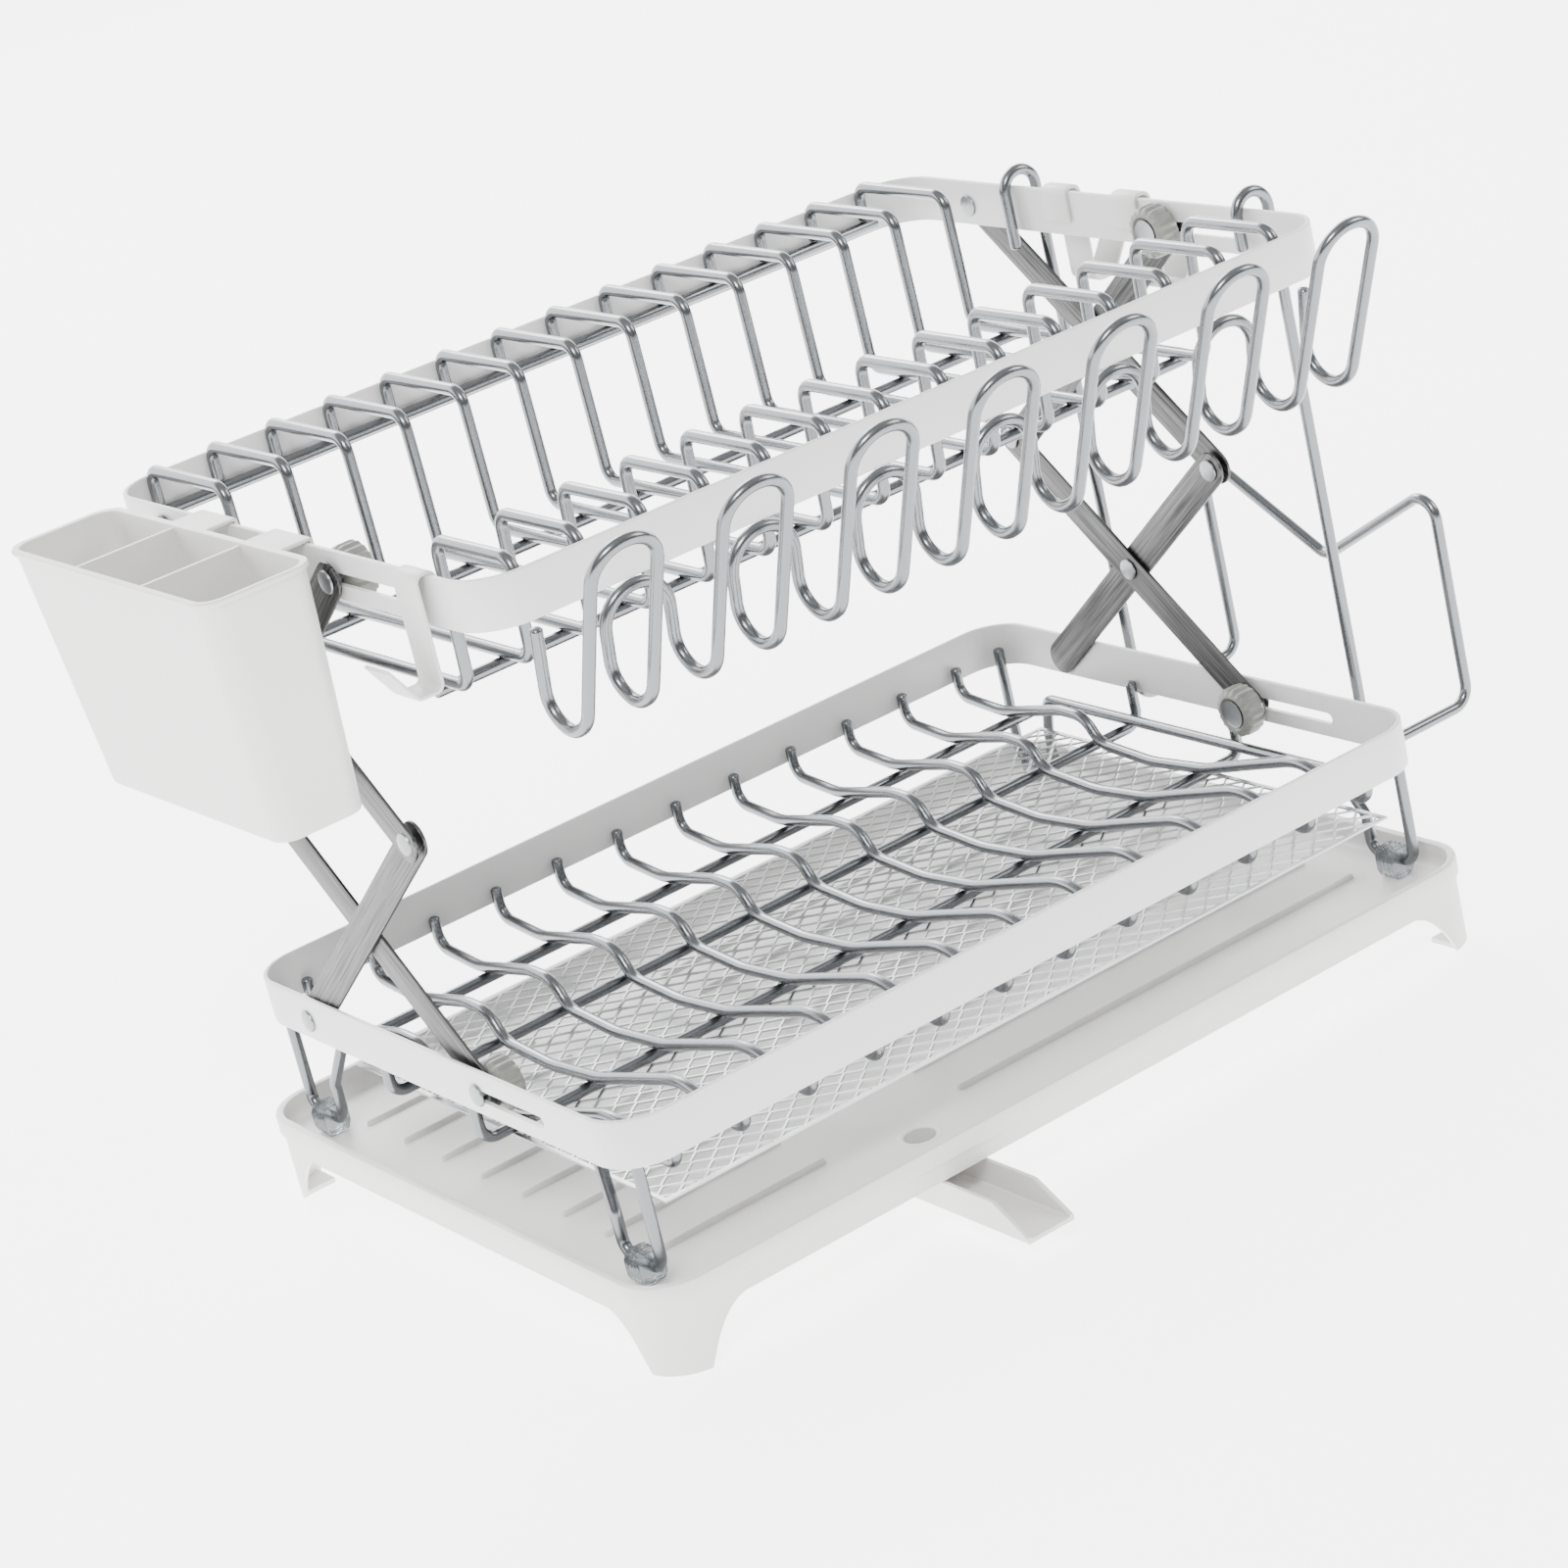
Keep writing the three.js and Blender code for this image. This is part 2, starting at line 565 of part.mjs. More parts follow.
for (const [name, side] of Object.entries(SIDE)) {
  const low = piece(name + "_lower_rear_bar", barB(), FINISH.steel);
  placeBar(low, side, LAYER.b, PIVOT_Y, LOW_Z, Math.PI - BAR_ANGLE);
  const lowSlide = piece(name + "_lower_front_bar", barA(), FINISH.steel);
  placeBar(lowSlide, side, LAYER.a, SLIDE_Y, LOW_Z, BAR_ANGLE);
  const high = piece(name + "_upper_rear_bar", barC(), FINISH.steel);
  placeBar(high, side, LAYER.c, SLIDE_Y, MID_Z, BAR_ANGLE);
  const highSlide = piece(name + "_upper_front_bar", barD(), FINISH.steel);
  placeBar(highSlide, side, LAYER.d, PIVOT_Y, MID_Z, Math.PI - BAR_ANGLE);

  const lowCollar = [LAYER.a + BAR.thick + GAP, INNER_L - GAP];
  const lowKnob = knob(LAYER.a - GAP, lowCollar, HALF_L + GAP);
  placeKnob(piece(name + "_lower_knob", lowKnob, FINISH.knob), side, SLIDE_Y, LOW_Z);
  const highCollar = [HALF_L + GAP, LAYER.d - GAP];
  const highKnob = knob(INNER_L - GAP, highCollar, LAYER.d + BAR.thick + GAP);
  placeKnob(piece(name + "_upper_knob", highKnob, FINISH.knob), side, SLIDE_Y, HIGH_Z);
}

// ---- Upper basket ------------------------------------------------------------------------------
const BAND_TOP = UPPER_BAND_Z + BAND.height;
const CREST_Z = BAND_TOP + 3.2;
const BASKET_Z = CREST_Z - BASKET_WIRES.drop;
// One basket wire: it hooks up over both sides and hangs down between them.
const BASKET_WIRE = [
  [WELD_D, UPPER_BAND_Z + 7.5],
  [WELD_D, CREST_Z],
  [HALF_D - 70, CREST_Z],
  [HALF_D - 72, BASKET_Z],
  [-HALF_D + 62, BASKET_Z],
  [-HALF_D + 59, CREST_Z],
  [-WELD_D, CREST_Z],
  [-WELD_D, UPPER_BAND_Z + 3],
];

for (let i = 0; i < BASKET_WIRES.count; i += 1) {
  const from = -HALF_L + BASKET_WIRES.leftSpace;
  const to = HALF_L - BASKET_WIRES.rightSpace;
  const x = spread(from, to, BASKET_WIRES.count, i);
  piece(numbered("basket_wire", i), wire(inPlane(x, BASKET_WIRE)), FINISH.chrome);
}

const RAIL_X = INNER_L - 15;
const railZ = UPPER_BAND_Z + 7.5 - WIRE_R - GAP;
const REAR_RAIL_X = HALF_L - BAND.corner;
const rail = [at(-REAR_RAIL_X, WELD_D, railZ), at(REAR_RAIL_X, WELD_D, railZ)];
piece("basket_rear_rail", wire(rail), FINISH.chrome);

// One wire under the basket floor, bent round at its right end.
const floorWire = [
  at(-RAIL_X, HALF_D - 92, BASKET_Z - FLAT_PITCH),
  at(RAIL_X, HALF_D - 92, BASKET_Z - FLAT_PITCH),
  at(RAIL_X, -HALF_D + 86, BASKET_Z - FLAT_PITCH),
  at(-RAIL_X, -HALF_D + 86, BASKET_Z - FLAT_PITCH),
];
piece("basket_floor_wire", wire(floorWire), FINISH.chrome);

// ---- Cup hanger --------------------------------------------------------------------------------
// One long wire: it drops behind, turns under, rises in front and loops over to the next leg.
function cupHanger() {
  const backY = -HALF_D;
  const runZ = UPPER_BAND_Z - WIRE_R - GAP;
  const lowZ = runZ - HANGER.drop;
  const points = [];
  for (let i = 0; i < HANGER.count; i += 1) {
    const x = spread(-HALF_L + HANGER.endSpace, HALF_L - HANGER.endSpace, HANGER.count, i);
    const leg = [
      at(x, backY + 1, runZ),
      at(x, backY + 7, lowZ + 9),
      at(x, backY - 6, lowZ),
      at(x, backY - 19, lowZ + 6),
      at(x, backY - HANGER.reach, runZ + HANGER.rise),
    ];
    points.push(...(i % 2 === 0 ? leg : leg.reverse()));
  }
  return wire(points, 14.5);
}

// ---- Pieces that hang on the upper band --------------------------------------------------------
// A four-sided tapering block between two rectangles, each given by its low and high corner.
function taper(bottom, bottomZ, top, topZ) {
  const corners = ([x0, y0, x1, y1], z) => [[x0, y0, z], [x1, y0, z], [x1, y1, z], [x0, y1, z]];
  const position = [...corners(bottom, bottomZ), ...corners(top, topZ)].flat();
  const geometry = new THREE.BufferGeometry();
  geometry.setAttribute("position", new THREE.Float32BufferAttribute(position, 3));
  const sides = [0, 1, 2, 3].flatMap((i) => {
    const j = (i + 1) % 4;
    return [i, j, j + 4, i, j + 4, i + 4];
  });
  geometry.setIndex([0, 2, 1, 0, 3, 2, 4, 5, 6, 4, 6, 7, ...sides]);
  return geometry;
}

// The tab that carries a hung piece: over the band's top edge and down inside it.
function bandTab(y, width, thick, lip, outer) {
  const top = BAND_TOP + GAP;
  const inside = INNER_L - GAP;
  const shape = polygon([
    [-outer, top],
    [-inside, top],
    [-inside, top - lip],
    [-inside + thick, top - lip],
    [-inside + thick, top + thick],
    [-outer, top + thick],
  ]);
  return alongY(shape, y - width / 2, y + width / 2);
}

function utensilCup() {
  const x1 = -HALF_L - CUP.gap;
  const x0 = x1 - CUP.depth;
  const y0 = 27 - CUP.length / 2;
  const y1 = 27 + CUP.length / 2;
  const top = BAND_TOP + CUP.rise;
  const low = top - CUP.height;
  const { wall, draftX, draftY } = CUP;
  const shell = taper([x0 + draftX, y0 + draftY, x1, y1 - draftY], low, [x0, y0, x1, y1], top);
  const rim = block(at(x0 - 1.5, y0 - 1.5, top - 2.5), at(x1 + 1, y1 + 1.5, top));
  let body = join(shell, rim);
  const count = 3;
  for (let i = 0; i < count; i += 1) {
    const share = (y) => y + wall / 2;
    const cell = (a, b) => [share(spread(a, b, count + 1, i)), share(spread(a, b, count + 1, i + 1)) - wall];
    const [ta, tb] = cell(y0 + wall / 2, y1 - wall / 2);
    const [ba, bb] = cell(y0 + draftY + wall / 2, y1 - draftY - wall / 2);
    const mouth = [x0 + wall, ta, x1 - wall, tb];
    const base = [x0 + draftX + wall, ba, x1 - wall, bb];
    body = body.subtract(solid(taper(base, low + wall, mouth, top + 0.01)));
  }
  for (const y of TAB.spots) {
    body = body.add(solid(bandTab(y, TAB.width, TAB.thick, TAB.lip, HALF_L + CUP.gap + 1)));
  }
  return body;
}

// A flat hook: lip inside the band, strap down outside the linkage, and a toe turned up.
function bandHook() {
  const { thick, width, drop, toe, lip } = HOOK;
  const outer = LAYER.d + BAR.thick + GAP + thick;
  const top = BAND_TOP + GAP;
  const low = top - drop;
  const strap = [
    [outer - thick, top + 0.1],
    [outer - thick, low + 1],
    [outer + 2, low - 3],
    [outer + toe - 5, low - 3],
    [outer + toe + 1, low + 12],
    [outer + toe - 1, low + 12.6],
    [outer + toe - 6.5, low - 3 + thick],
    [outer + 3, low - 3 + thick],
    [outer, low + 2],
    [outer, top + 0.1],
  ];
  const outline = polygon(strap.map(([x, z]) => [-x, z]));
  return join(alongY(outline, -width / 2, width / 2), bandTab(0, width, thick, lip, outer));
}

// A wire stand for boards: over the band, down past the tray, out, and up to two peaks.
function boardHolder() {
  const { front, rear, low, peak, dip, crown, reach } = HOLDER;
  const inside = INNER_L - WIRE_R - 4 * GAP;
  const down = TRAY_L / 2 + WIRE_R + RUN;
  const out = down + reach;
  return wire([
    at(inside, front, UPPER_BAND_Z + 3),
    at(inside, front, crown),
    at(down, front, crown),
    at(down, front, low),
    at(out, front, low),
    at(out, front, peak),
    at(out, (front + rear) / 2, dip),
    at(out, rear, peak),
    at(out, rear, low),
    at(down, rear, low),
    at(down, rear, crown),
    at(inside, rear, crown),
    at(inside, rear, UPPER_BAND_Z - 8),
  ], 9);
}

piece("cup_hanger", cupHanger(), FINISH.chrome);
piece("utensil_cup", utensilCup(), FINISH.tray);
piece("board_holder", boardHolder(), FINISH.chrome);
piece("left_hook", bandHook(), FINISH.paint).position.set(0, -HALF_D + 42, 0);
for (const [name, y] of [["right_rear_hook", 31], ["right_front_hook", -17]]) {
  const hook = piece(name, bandHook(), FINISH.paint);
  hook.rotation.z = Math.PI;
  hook.position.y = y;
}

const middle = new THREE.Box3().setFromObject(rack, true).getCenter(at(0, 0, 0));
rack.position.set(-middle.x, -middle.y, 0);

export default rack;
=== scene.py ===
"""Looks of a two-tier collapsible dish drying rack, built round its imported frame.

Sizes are millimetres from the middle of the drip tray, and become metres where a mesh is made.
"""

import json
import logging
import math
from dataclasses import dataclass
from enum import Enum
from typing import Sequence

import bmesh
import bpy
import numpy as np
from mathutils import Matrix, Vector

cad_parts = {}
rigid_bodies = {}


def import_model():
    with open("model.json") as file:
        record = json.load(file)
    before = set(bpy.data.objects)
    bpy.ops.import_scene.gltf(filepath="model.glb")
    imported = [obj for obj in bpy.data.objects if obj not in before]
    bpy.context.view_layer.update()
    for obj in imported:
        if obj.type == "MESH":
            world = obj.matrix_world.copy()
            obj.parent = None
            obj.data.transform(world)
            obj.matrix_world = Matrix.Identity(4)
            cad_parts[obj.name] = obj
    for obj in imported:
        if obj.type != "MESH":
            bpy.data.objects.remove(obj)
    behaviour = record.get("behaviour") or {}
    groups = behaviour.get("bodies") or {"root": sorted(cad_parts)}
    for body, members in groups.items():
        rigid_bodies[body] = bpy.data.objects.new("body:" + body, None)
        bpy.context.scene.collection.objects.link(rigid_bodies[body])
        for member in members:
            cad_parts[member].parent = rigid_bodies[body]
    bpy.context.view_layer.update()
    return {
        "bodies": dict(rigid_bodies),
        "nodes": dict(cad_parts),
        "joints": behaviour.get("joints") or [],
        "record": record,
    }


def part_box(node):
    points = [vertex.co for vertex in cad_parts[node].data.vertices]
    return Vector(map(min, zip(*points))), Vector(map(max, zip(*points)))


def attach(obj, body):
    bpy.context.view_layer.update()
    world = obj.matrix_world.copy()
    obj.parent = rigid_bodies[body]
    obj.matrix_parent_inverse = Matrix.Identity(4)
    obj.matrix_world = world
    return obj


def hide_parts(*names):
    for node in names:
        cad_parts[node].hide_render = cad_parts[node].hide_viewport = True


LOG = logging.getLogger("dish_rack")
MM = 0.001
WIRE_R = 2.6  # radius of the rack wire
GAP = 0.3  # clearance kept between neighbouring pieces

Point = tuple[float, float, float]
Colour = tuple[float, float, float]
Shape = tuple[np.ndarray, np.ndarray | list]  # vertices in millimetres, and faces


class Side(Enum):
    """The two ends of the rack along X."""

    LEFT = -1
    RIGHT = 1


class Slot(Enum):
    """Material slots of the record."""

    PLASTIC = "warm_white_plastic"
    PAINT = "white_paint"
    BAR = "brushed_bar"
    KNOB = "knob_grey"
    CLEAR = "clear_foot"
    MESH = "mesh_sheet"
    WIRE = "chrome_wire"


# ---- Shader arithmetic ---------------------------------------------------------------------------
class Value:
    """A shader socket that takes part in Python arithmetic by adding Math nodes."""

    def __init__(self, shader: "Shader", socket: bpy.types.NodeSocket) -> None:
        """Keeps the socket and the shader it belongs to."""
        self.shader = shader
        self.socket = socket

    def math(self, operation: str, first: object, second: object) -> "Value":
        """Adds one Math node.

        Args:
            operation: The node's operation.
            first: A Value or a number.
            second: A Value or a number.

        Returns:
            The node's result.
        """
        return self.shader.add("ShaderNodeMath", {"operation": operation}, {0: first, 1: second})

    def __add__(self, other: object) -> "Value":
        """self + other."""
        return self.math("ADD", self, other)

    def __radd__(self, other: object) -> "Value":
        """other + self."""
        return self.math("ADD", other, self)

    def __sub__(self, other: object) -> "Value":
        """self - other."""
        return self.math("SUBTRACT", self, other)

    def __rsub__(self, other: object) -> "Value":
        """other - self."""
        return self.math("SUBTRACT", other, self)

    def __mul__(self, other: object) -> "Value":
        """self * other."""
        return self.math("MULTIPLY", self, other)

    def __rmul__(self, other: object) -> "Value":
        """other * self."""
        return self.math("MULTIPLY", other, self)


class Shader:
    """The nodes of one material or sky under construction."""

    def __init__(self, owner: bpy.types.ID, surface: str = "Principled BSDF") -> None:
        """Turns the nodes on.

        Args:
            owner: A material or a world.
            surface: The name of its shader node.
        """
        owner.use_nodes = True
        self.tree = owner.node_tree
        self.surface = self.tree.nodes[surface]

    def add(self, kind: str, settings: dict | None = None, inputs: dict | None = None,
            output: int | str = 0) -> Value:
        """Adds any node.

        Args:
            kind: The node's type.
            settings: Attributes to set before the sockets; "stops" places the stops of a ramp.
            inputs: Values or links by socket name or number.
            output: Which output to return.

        Returns:
            The chosen output.
        """
        node = self.tree.nodes.new(kind)
        for key, value in (settings or {}).items():
            if key == "stops":
                self.place_stops(node.color_ramp, value)
            else:
                setattr(node, key, value)
        for key, value in (inputs or {}).items():
            self.feed(node.inputs[key], value)
        return Value(self, node.outputs[output])

    @staticmethod
    def place_stops(ramp: bpy.types.ColorRamp, stops: Sequence[tuple[float, Colour]]) -> None:
        """Places the two stops of a ramp.

        Args:
            ramp: The ramp of a new node.
            stops: Position and colour of each stop.
        """
        for element, (position, colour) in zip(ramp.elements, stops):
            element.position = position
            element.color = (*colour, 1)

    def feed(self, socket: bpy.types.NodeSocket, value: object) -> None:
        """Gives a socket its input.

        Args:
            socket: The socket of a node.
            value: A Value to link, or a constant to set.
        """
        if isinstance(value, Value):
            self.tree.links.new(value.socket, socket)
        else:
            socket.default_value = value

    def set(self, **inputs: object) -> None:
        """Feeds sockets of the surface shader; a double underscore is a space in a name."""
        for key, value in inputs.items():
            self.feed(self.surface.inputs[key.replace("__", " ")], value)

    def coordinates(self, scale: Point = (1, 1, 1), turn: Point = (0, 0, 0)) -> Value:
        """Object coordinates, turned and then scaled.

        Args:
            scale: Scale along each axis.
            turn: Turn about each axis, in radians.

        Returns:
            The coordinates.
        """
        place = self.add("ShaderNodeTexCoord", output="Object")
        turned_place = self.add("ShaderNodeMapping", None, {"Vector": place, "Rotation": turn})
        return self.add("ShaderNodeMapping", None, {"Vector": turned_place, "Scale": scale})

    def noise(self, vector: Value, scale: float, detail: float = 3.0) -> Value:
        """Smooth noise between 0 and 1."""
        return self.add("ShaderNodeTexNoise", None, {"Vector": vector, "Scale": scale, "Detail": detail})

    def tint(self, factor: Value, low: Colour, high: Colour) -> Value:
        """A colour between two, by a factor."""
        inputs = {0: factor, 6: (*low, 1), 7: (*high, 1)}
        return self.add("ShaderNodeMix", {"data_type": "RGBA"}, inputs, 2)

    def bump(self, height: Value, depth: float, strength: float = 1.0) -> None:
        """Raises the surface by a height between 0 and 1 times a depth in metres."""
        inputs = {"Height": height, "Distance": depth, "Strength": strength}
        self.set(Normal=self.add("ShaderNodeBump", None, inputs))


@dataclass(frozen=True)
class Finish:
    """A surface finish with fine variation in colour, gloss and height.

    Attributes:
        name: The material's name, which differs from every slot's own.
        slot: The record's slot that it is meant for; not used.
        colour: The colour of the palest patches.
        shade: How much darker the darkest patches are, as a share.
        roughness: The mean roughness.
        spread: How far the roughness wanders each way.
        metallic: 1 for bare metal.
        grain: Size of the fine surface grain, per metre.
        depth: Height of the grain in metres.
        stretch: Scale of the grain along X, Y and Z.
        turn: Turn of the grain about X, in radians.
        coat: Weight of a clear coat.
        clear: Transmission weight.
        streak: Contrast of the fine grain in the colour.
    """

    name: str
    slot: Slot
    colour: Colour
    shade: float = 0.06
    roughness: float = 0.4
    spread: float = 0.06
    metallic: float = 0.0
    grain: float = 2500.0
    depth: float = 0.00002
    stretch: Point = (1, 1, 1)
    turn: float = 0.0
    coat: float = 0.0
    clear: float = 0.0
    streak: float = 1.0

    def material(self) -> bpy.types.Material:
        """Makes the finish's material, or finds it where it was made before.

        Base colour runs from dark to pale with the mean of broad noise and contrasted fine noise,
        roughness wanders with both, and the fine noise lifts the surface.

        Returns:
            The material.
        """
        made = bpy.data.materials.get(self.name)
        if made:
            return made
        made = bpy.data.materials.new(self.name)
        shader = Shader(made)
        plain = shader.coordinates()
        along = shader.coordinates(self.stretch, (self.turn, 0, 0))
        fine = shader.noise(along, self.grain, 4)
        broad = shader.noise(plain, 18, 2)
        dark = tuple(channel * (1 - self.shade) for channel in self.colour)
        patches = broad * 0.5 + 0.5 * (self.streak * (fine - 0.5) + 0.5)
        shader.set(
            Base__Color=shader.tint(patches, dark, self.colour),
            Roughness=self.roughness - self.spread + 2 * self.spread * (broad * 0.4 + fine * 0.6),
            Metallic=self.metallic,
            Coat__Weight=self.coat,
            Transmission__Weight=self.clear,
        )
        shader.bump(fine, self.depth)
        return made


WIRE_FINISH = Finish("satin_wire", Slot.WIRE, (0.17, 0.177, 0.186), shade=0.1, roughness=0.25, metallic=1,
                     grain=900, depth=0.000006)
PAINT = Finish("band_paint", Slot.PAINT, (0.60, 0.60, 0.595), shade=0.03, roughness=0.42, spread=0.05,
               grain=1800, coat=0.1)
PLASTIC = Finish("tray_plastic", Slot.PLASTIC, (0.63, 0.622, 0.605), shade=0.03, roughness=0.42,
                 spread=0.05, grain=3000)
HOOK_PAINT = Finish("hook_plastic", Slot.PAINT, (0.55, 0.55, 0.54), shade=0.03, roughness=0.38, spread=0.05)
RIVET = Finish("rivet_steel", Slot.WIRE, (0.24, 0.25, 0.26), shade=0.1, roughness=0.32, spread=0.08,
               metallic=1, grain=700, depth=0.00001)
KNOB_GREY = Finish("knob_satin", Slot.KNOB, (0.17, 0.173, 0.155), shade=0.12, roughness=0.36, spread=0.08,
                   grain=1500)
MESH_FINISH = Finish("mesh_metal", Slot.MESH, (0.42, 0.43, 0.44), shade=0.1, roughness=0.3, spread=0.08,
                     metallic=1, grain=700, depth=0.00001)
CLEAR = Finish("foot_moulded", Slot.CLEAR, (0.60, 0.64, 0.67), shade=0.1, roughness=0.07, spread=0.04,
               grain=420, depth=0.0005, clear=0.92)


def brushed(name: str, turn: float) -> Finish:
    """Dark steel brushed along a bar that is tilted by an angle about X."""
    return Finish(name, Slot.BAR, (0.125, 0.125, 0.124), shade=0.85, roughness=0.42, spread=0.1, metallic=1,
                  grain=1100, depth=0.00006, stretch=(1, 0.02, 1), turn=turn, streak=5.0)


# ---- Mesh building -------------------------------------------------------------------------------
def mesh_object(name: str, vertices: np.ndarray, faces: np.ndarray | list, smooth: bool = True,
                angle: float = 40.0) -> bpy.types.Object:
    """Makes an object from vertices in metres; poles and doubles are merged and faces turned out.

    Args:
        name: The object's name.
        vertices: An array of n by 3.
        faces: Corner numbers of each face.
        smooth: Whether faces shade smoothly up to an angle.
        angle: That angle in degrees.

    Returns:
        The new object, in the scene.
    """
    mesh = bpy.data.meshes.new(name)
    polygons = faces if isinstance(faces, list) else faces.tolist()
    mesh.from_pydata(np.asarray(vertices, dtype=float), [], polygons)
    work = bmesh.new()
    work.from_mesh(mesh)
    bmesh.ops.remove_doubles(work, verts=work.verts, dist=1e-7)
    bmesh.ops.recalc_face_normals(work, faces=work.faces)
    work.to_mesh(mesh)
    work.free()
    made = bpy.data.objects.new(name, mesh)
    bpy.context.scene.collection.objects.link(made)
    if smooth:
        mesh.shade_smooth()
        mesh.set_sharp_from_angle(angle=math.radians(angle))
    return made


def grid_faces(rows: int, columns: int, wrap_rows: bool = False) -> np.ndarray:
    """Quads of a grid whose columns close on themselves: each point, its neighbours and the one across.

    Args:
        rows: Rings of the grid.
        columns: Points in a ring.
        wrap_rows: Whether the last ring joins the first.

    Returns:
        Corner numbers, four to a row.
    """
    last = rows if wrap_rows else rows - 1
    i, j = np.meshgrid(np.arange(last), np.arange(columns), indexing="ij")
    i2, j2 = (i + 1) % rows, (j + 1) % columns
    quads = [i * columns + j, i * columns + j2, i2 * columns + j2, i2 * columns + j]
    return np.stack(quads, -1).reshape(-1, 4)


def bent_line(knots: Sequence[Point], radius: float | Sequence[float], step: float = 0.12) -> np.ndarray:
    """The centre line of a bent wire: straight runs joined by arcs.

    Each corner becomes centre + start cos(t) + side sin(t), with t from 0 to the turn.

    Args:
        knots: Corner points.
        radius: Bend radius of the arcs, one for all or one for each corner, less where the runs are short.
        step: Largest turn between two points, in radians.

    Returns:
        Points along the line, n by 3.
    """
    corners = np.array(knots, dtype=float)
    parts = [corners[:1]]
    bends = np.broadcast_to(radius, len(corners) - 2)
    for before, here, after, wanted in zip(corners[:-2], corners[1:-1], corners[2:], bends):
        back, on = before - here, after - here
        room = 0.49 * min(np.linalg.norm(back), np.linalg.norm(on))
        back, on = back / np.linalg.norm(back), on / np.linalg.norm(on)
        turn = math.pi - math.acos(float(np.clip(back @ on, -1, 1)))
        if turn < 0.02:
            parts.append(here[None])
            continue
        reach = min(wanted * math.tan(turn / 2), room)
        bend = reach / math.tan(turn / 2)
        middle = here + (back + on) / np.linalg.norm(back + on) * bend / math.cos(turn / 2)
        start = here + back * reach - middle
        t = np.linspace(0, turn, max(2, math.ceil(turn / step) + 1))[:, None]
        parts.append(middle + start * np.cos(t) - back * bend * np.sin(t))
    parts.append(corners[-1:])
    return np.concatenate(parts)


def carried_frames(line: np.ndarray) -> tuple[np.ndarray, np.ndarray, np.ndarray]:
    """Carries a frame without twist: each normal is the last one less its part along the tangent.

    Args:
        line: Points along the line, n by 3.

    Returns:
        Tangents, normals and binormals, each n by 3.
    """
    steps = np.diff(line, axis=0)
    steps /= np.linalg.norm(steps, axis=1)[:, None]
    tangents = np.concatenate([steps[:1], steps[:-1] + steps[1:], steps[-1:]])
    tangents /= np.linalg.norm(tangents, axis=1)[:, None]
    seed = np.eye(3)[np.argmin(np.abs(tangents[0]))]
    normals = np.empty_like(tangents)
    for i, tangent in enumerate(tangents):
        seed = seed - tangent * (seed @ tangent)
        seed /= np.linalg.norm(seed)
        normals[i] = seed
    return tangents, normals, np.cross(tangents, normals)


def swept(line: np.ndarray, radius: float, sides: int = 16) -> Shape:
    """A round bar along a line with domed ends: centre + radius (N cos(u) + B sin(u)).

    Args:
        line: Centre line in millimetres.
        radius: Radius of the bar.
        sides: Sides of the section.

    Returns:
        Vertices and quads.
    """
    dome = np.linspace(0, math.pi / 2, 5)[:-1]
    tangents, normals, binormals = carried_frames(line)
    inset = radius * 0.6
    shrink = np.sin(dome)
    start = line[0] + tangents[0] * inset * (1 - np.cos(dome))[:, None]
    end = line[-1] - tangents[-1] * inset * (1 - np.cos(dome[::-1]))[:, None]
    body = line.copy()
    body[0] = line[0] + tangents[0] * inset
    body[-1] = line[-1] - tangents[-1] * inset
    centres = np.concatenate([start, body, end])
    scale = np.concatenate([shrink, np.ones(len(line)), shrink[::-1]])
    pad = len(dome)
    n = np.concatenate([np.repeat(normals[:1], pad, 0), normals, np.repeat(normals[-1:], pad, 0)])
    b = np.concatenate([np.repeat(binormals[:1], pad, 0), binormals, np.repeat(binormals[-1:], pad, 0)])
    u = np.linspace(0, 2 * math.pi, sides, endpoint=False)
    ring = (n[:, None] * np.cos(u)[:, None] + b[:, None] * np.sin(u)[:, None]) * radius
    vertices = centres[:, None] + ring * scale[:, None, None]
    return vertices.reshape(-1, 3), grid_faces(len(centres), sides)


def merged(parts: Sequence[Shape]) -> Shape:
    """Several meshes as one, each face's corner numbers moved on by the points before it.

    Args:
        parts: Vertices and faces of each mesh; a face may have any number of corners.

    Returns:
        Vertices and faces.
    """
    vertices, faces, offset = [], [], 0
    for points, polygons in parts:
        vertices.append(points)
        faces += [[int(corner) + offset for corner in polygon] for polygon in polygons]
        offset += len(points)
    return np.concatenate(vertices), faces


def level(outline: np.ndarray, z: float | np.ndarray) -> np.ndarray:
    """An outline in X and Y as points at a height."""
    return np.column_stack([outline, np.broadcast_to(z, len(outline))])


def capped(rings: Sequence[np.ndarray]) -> Shape:
    """Rings of points joined in order, with a flat face on the first and on the last.

    Args:
        rings: Closed rings with the same number of points.

    Returns:
        Vertices and faces.
    """
    grid = np.array(rings)
    rows, columns = grid.shape[:2]
    first = np.arange(columns)
    ends = [first[::-1].tolist(), (first + columns * (rows - 1)).tolist()]
    return grid.reshape(-1, 3), grid_faces(rows, columns).tolist() + ends


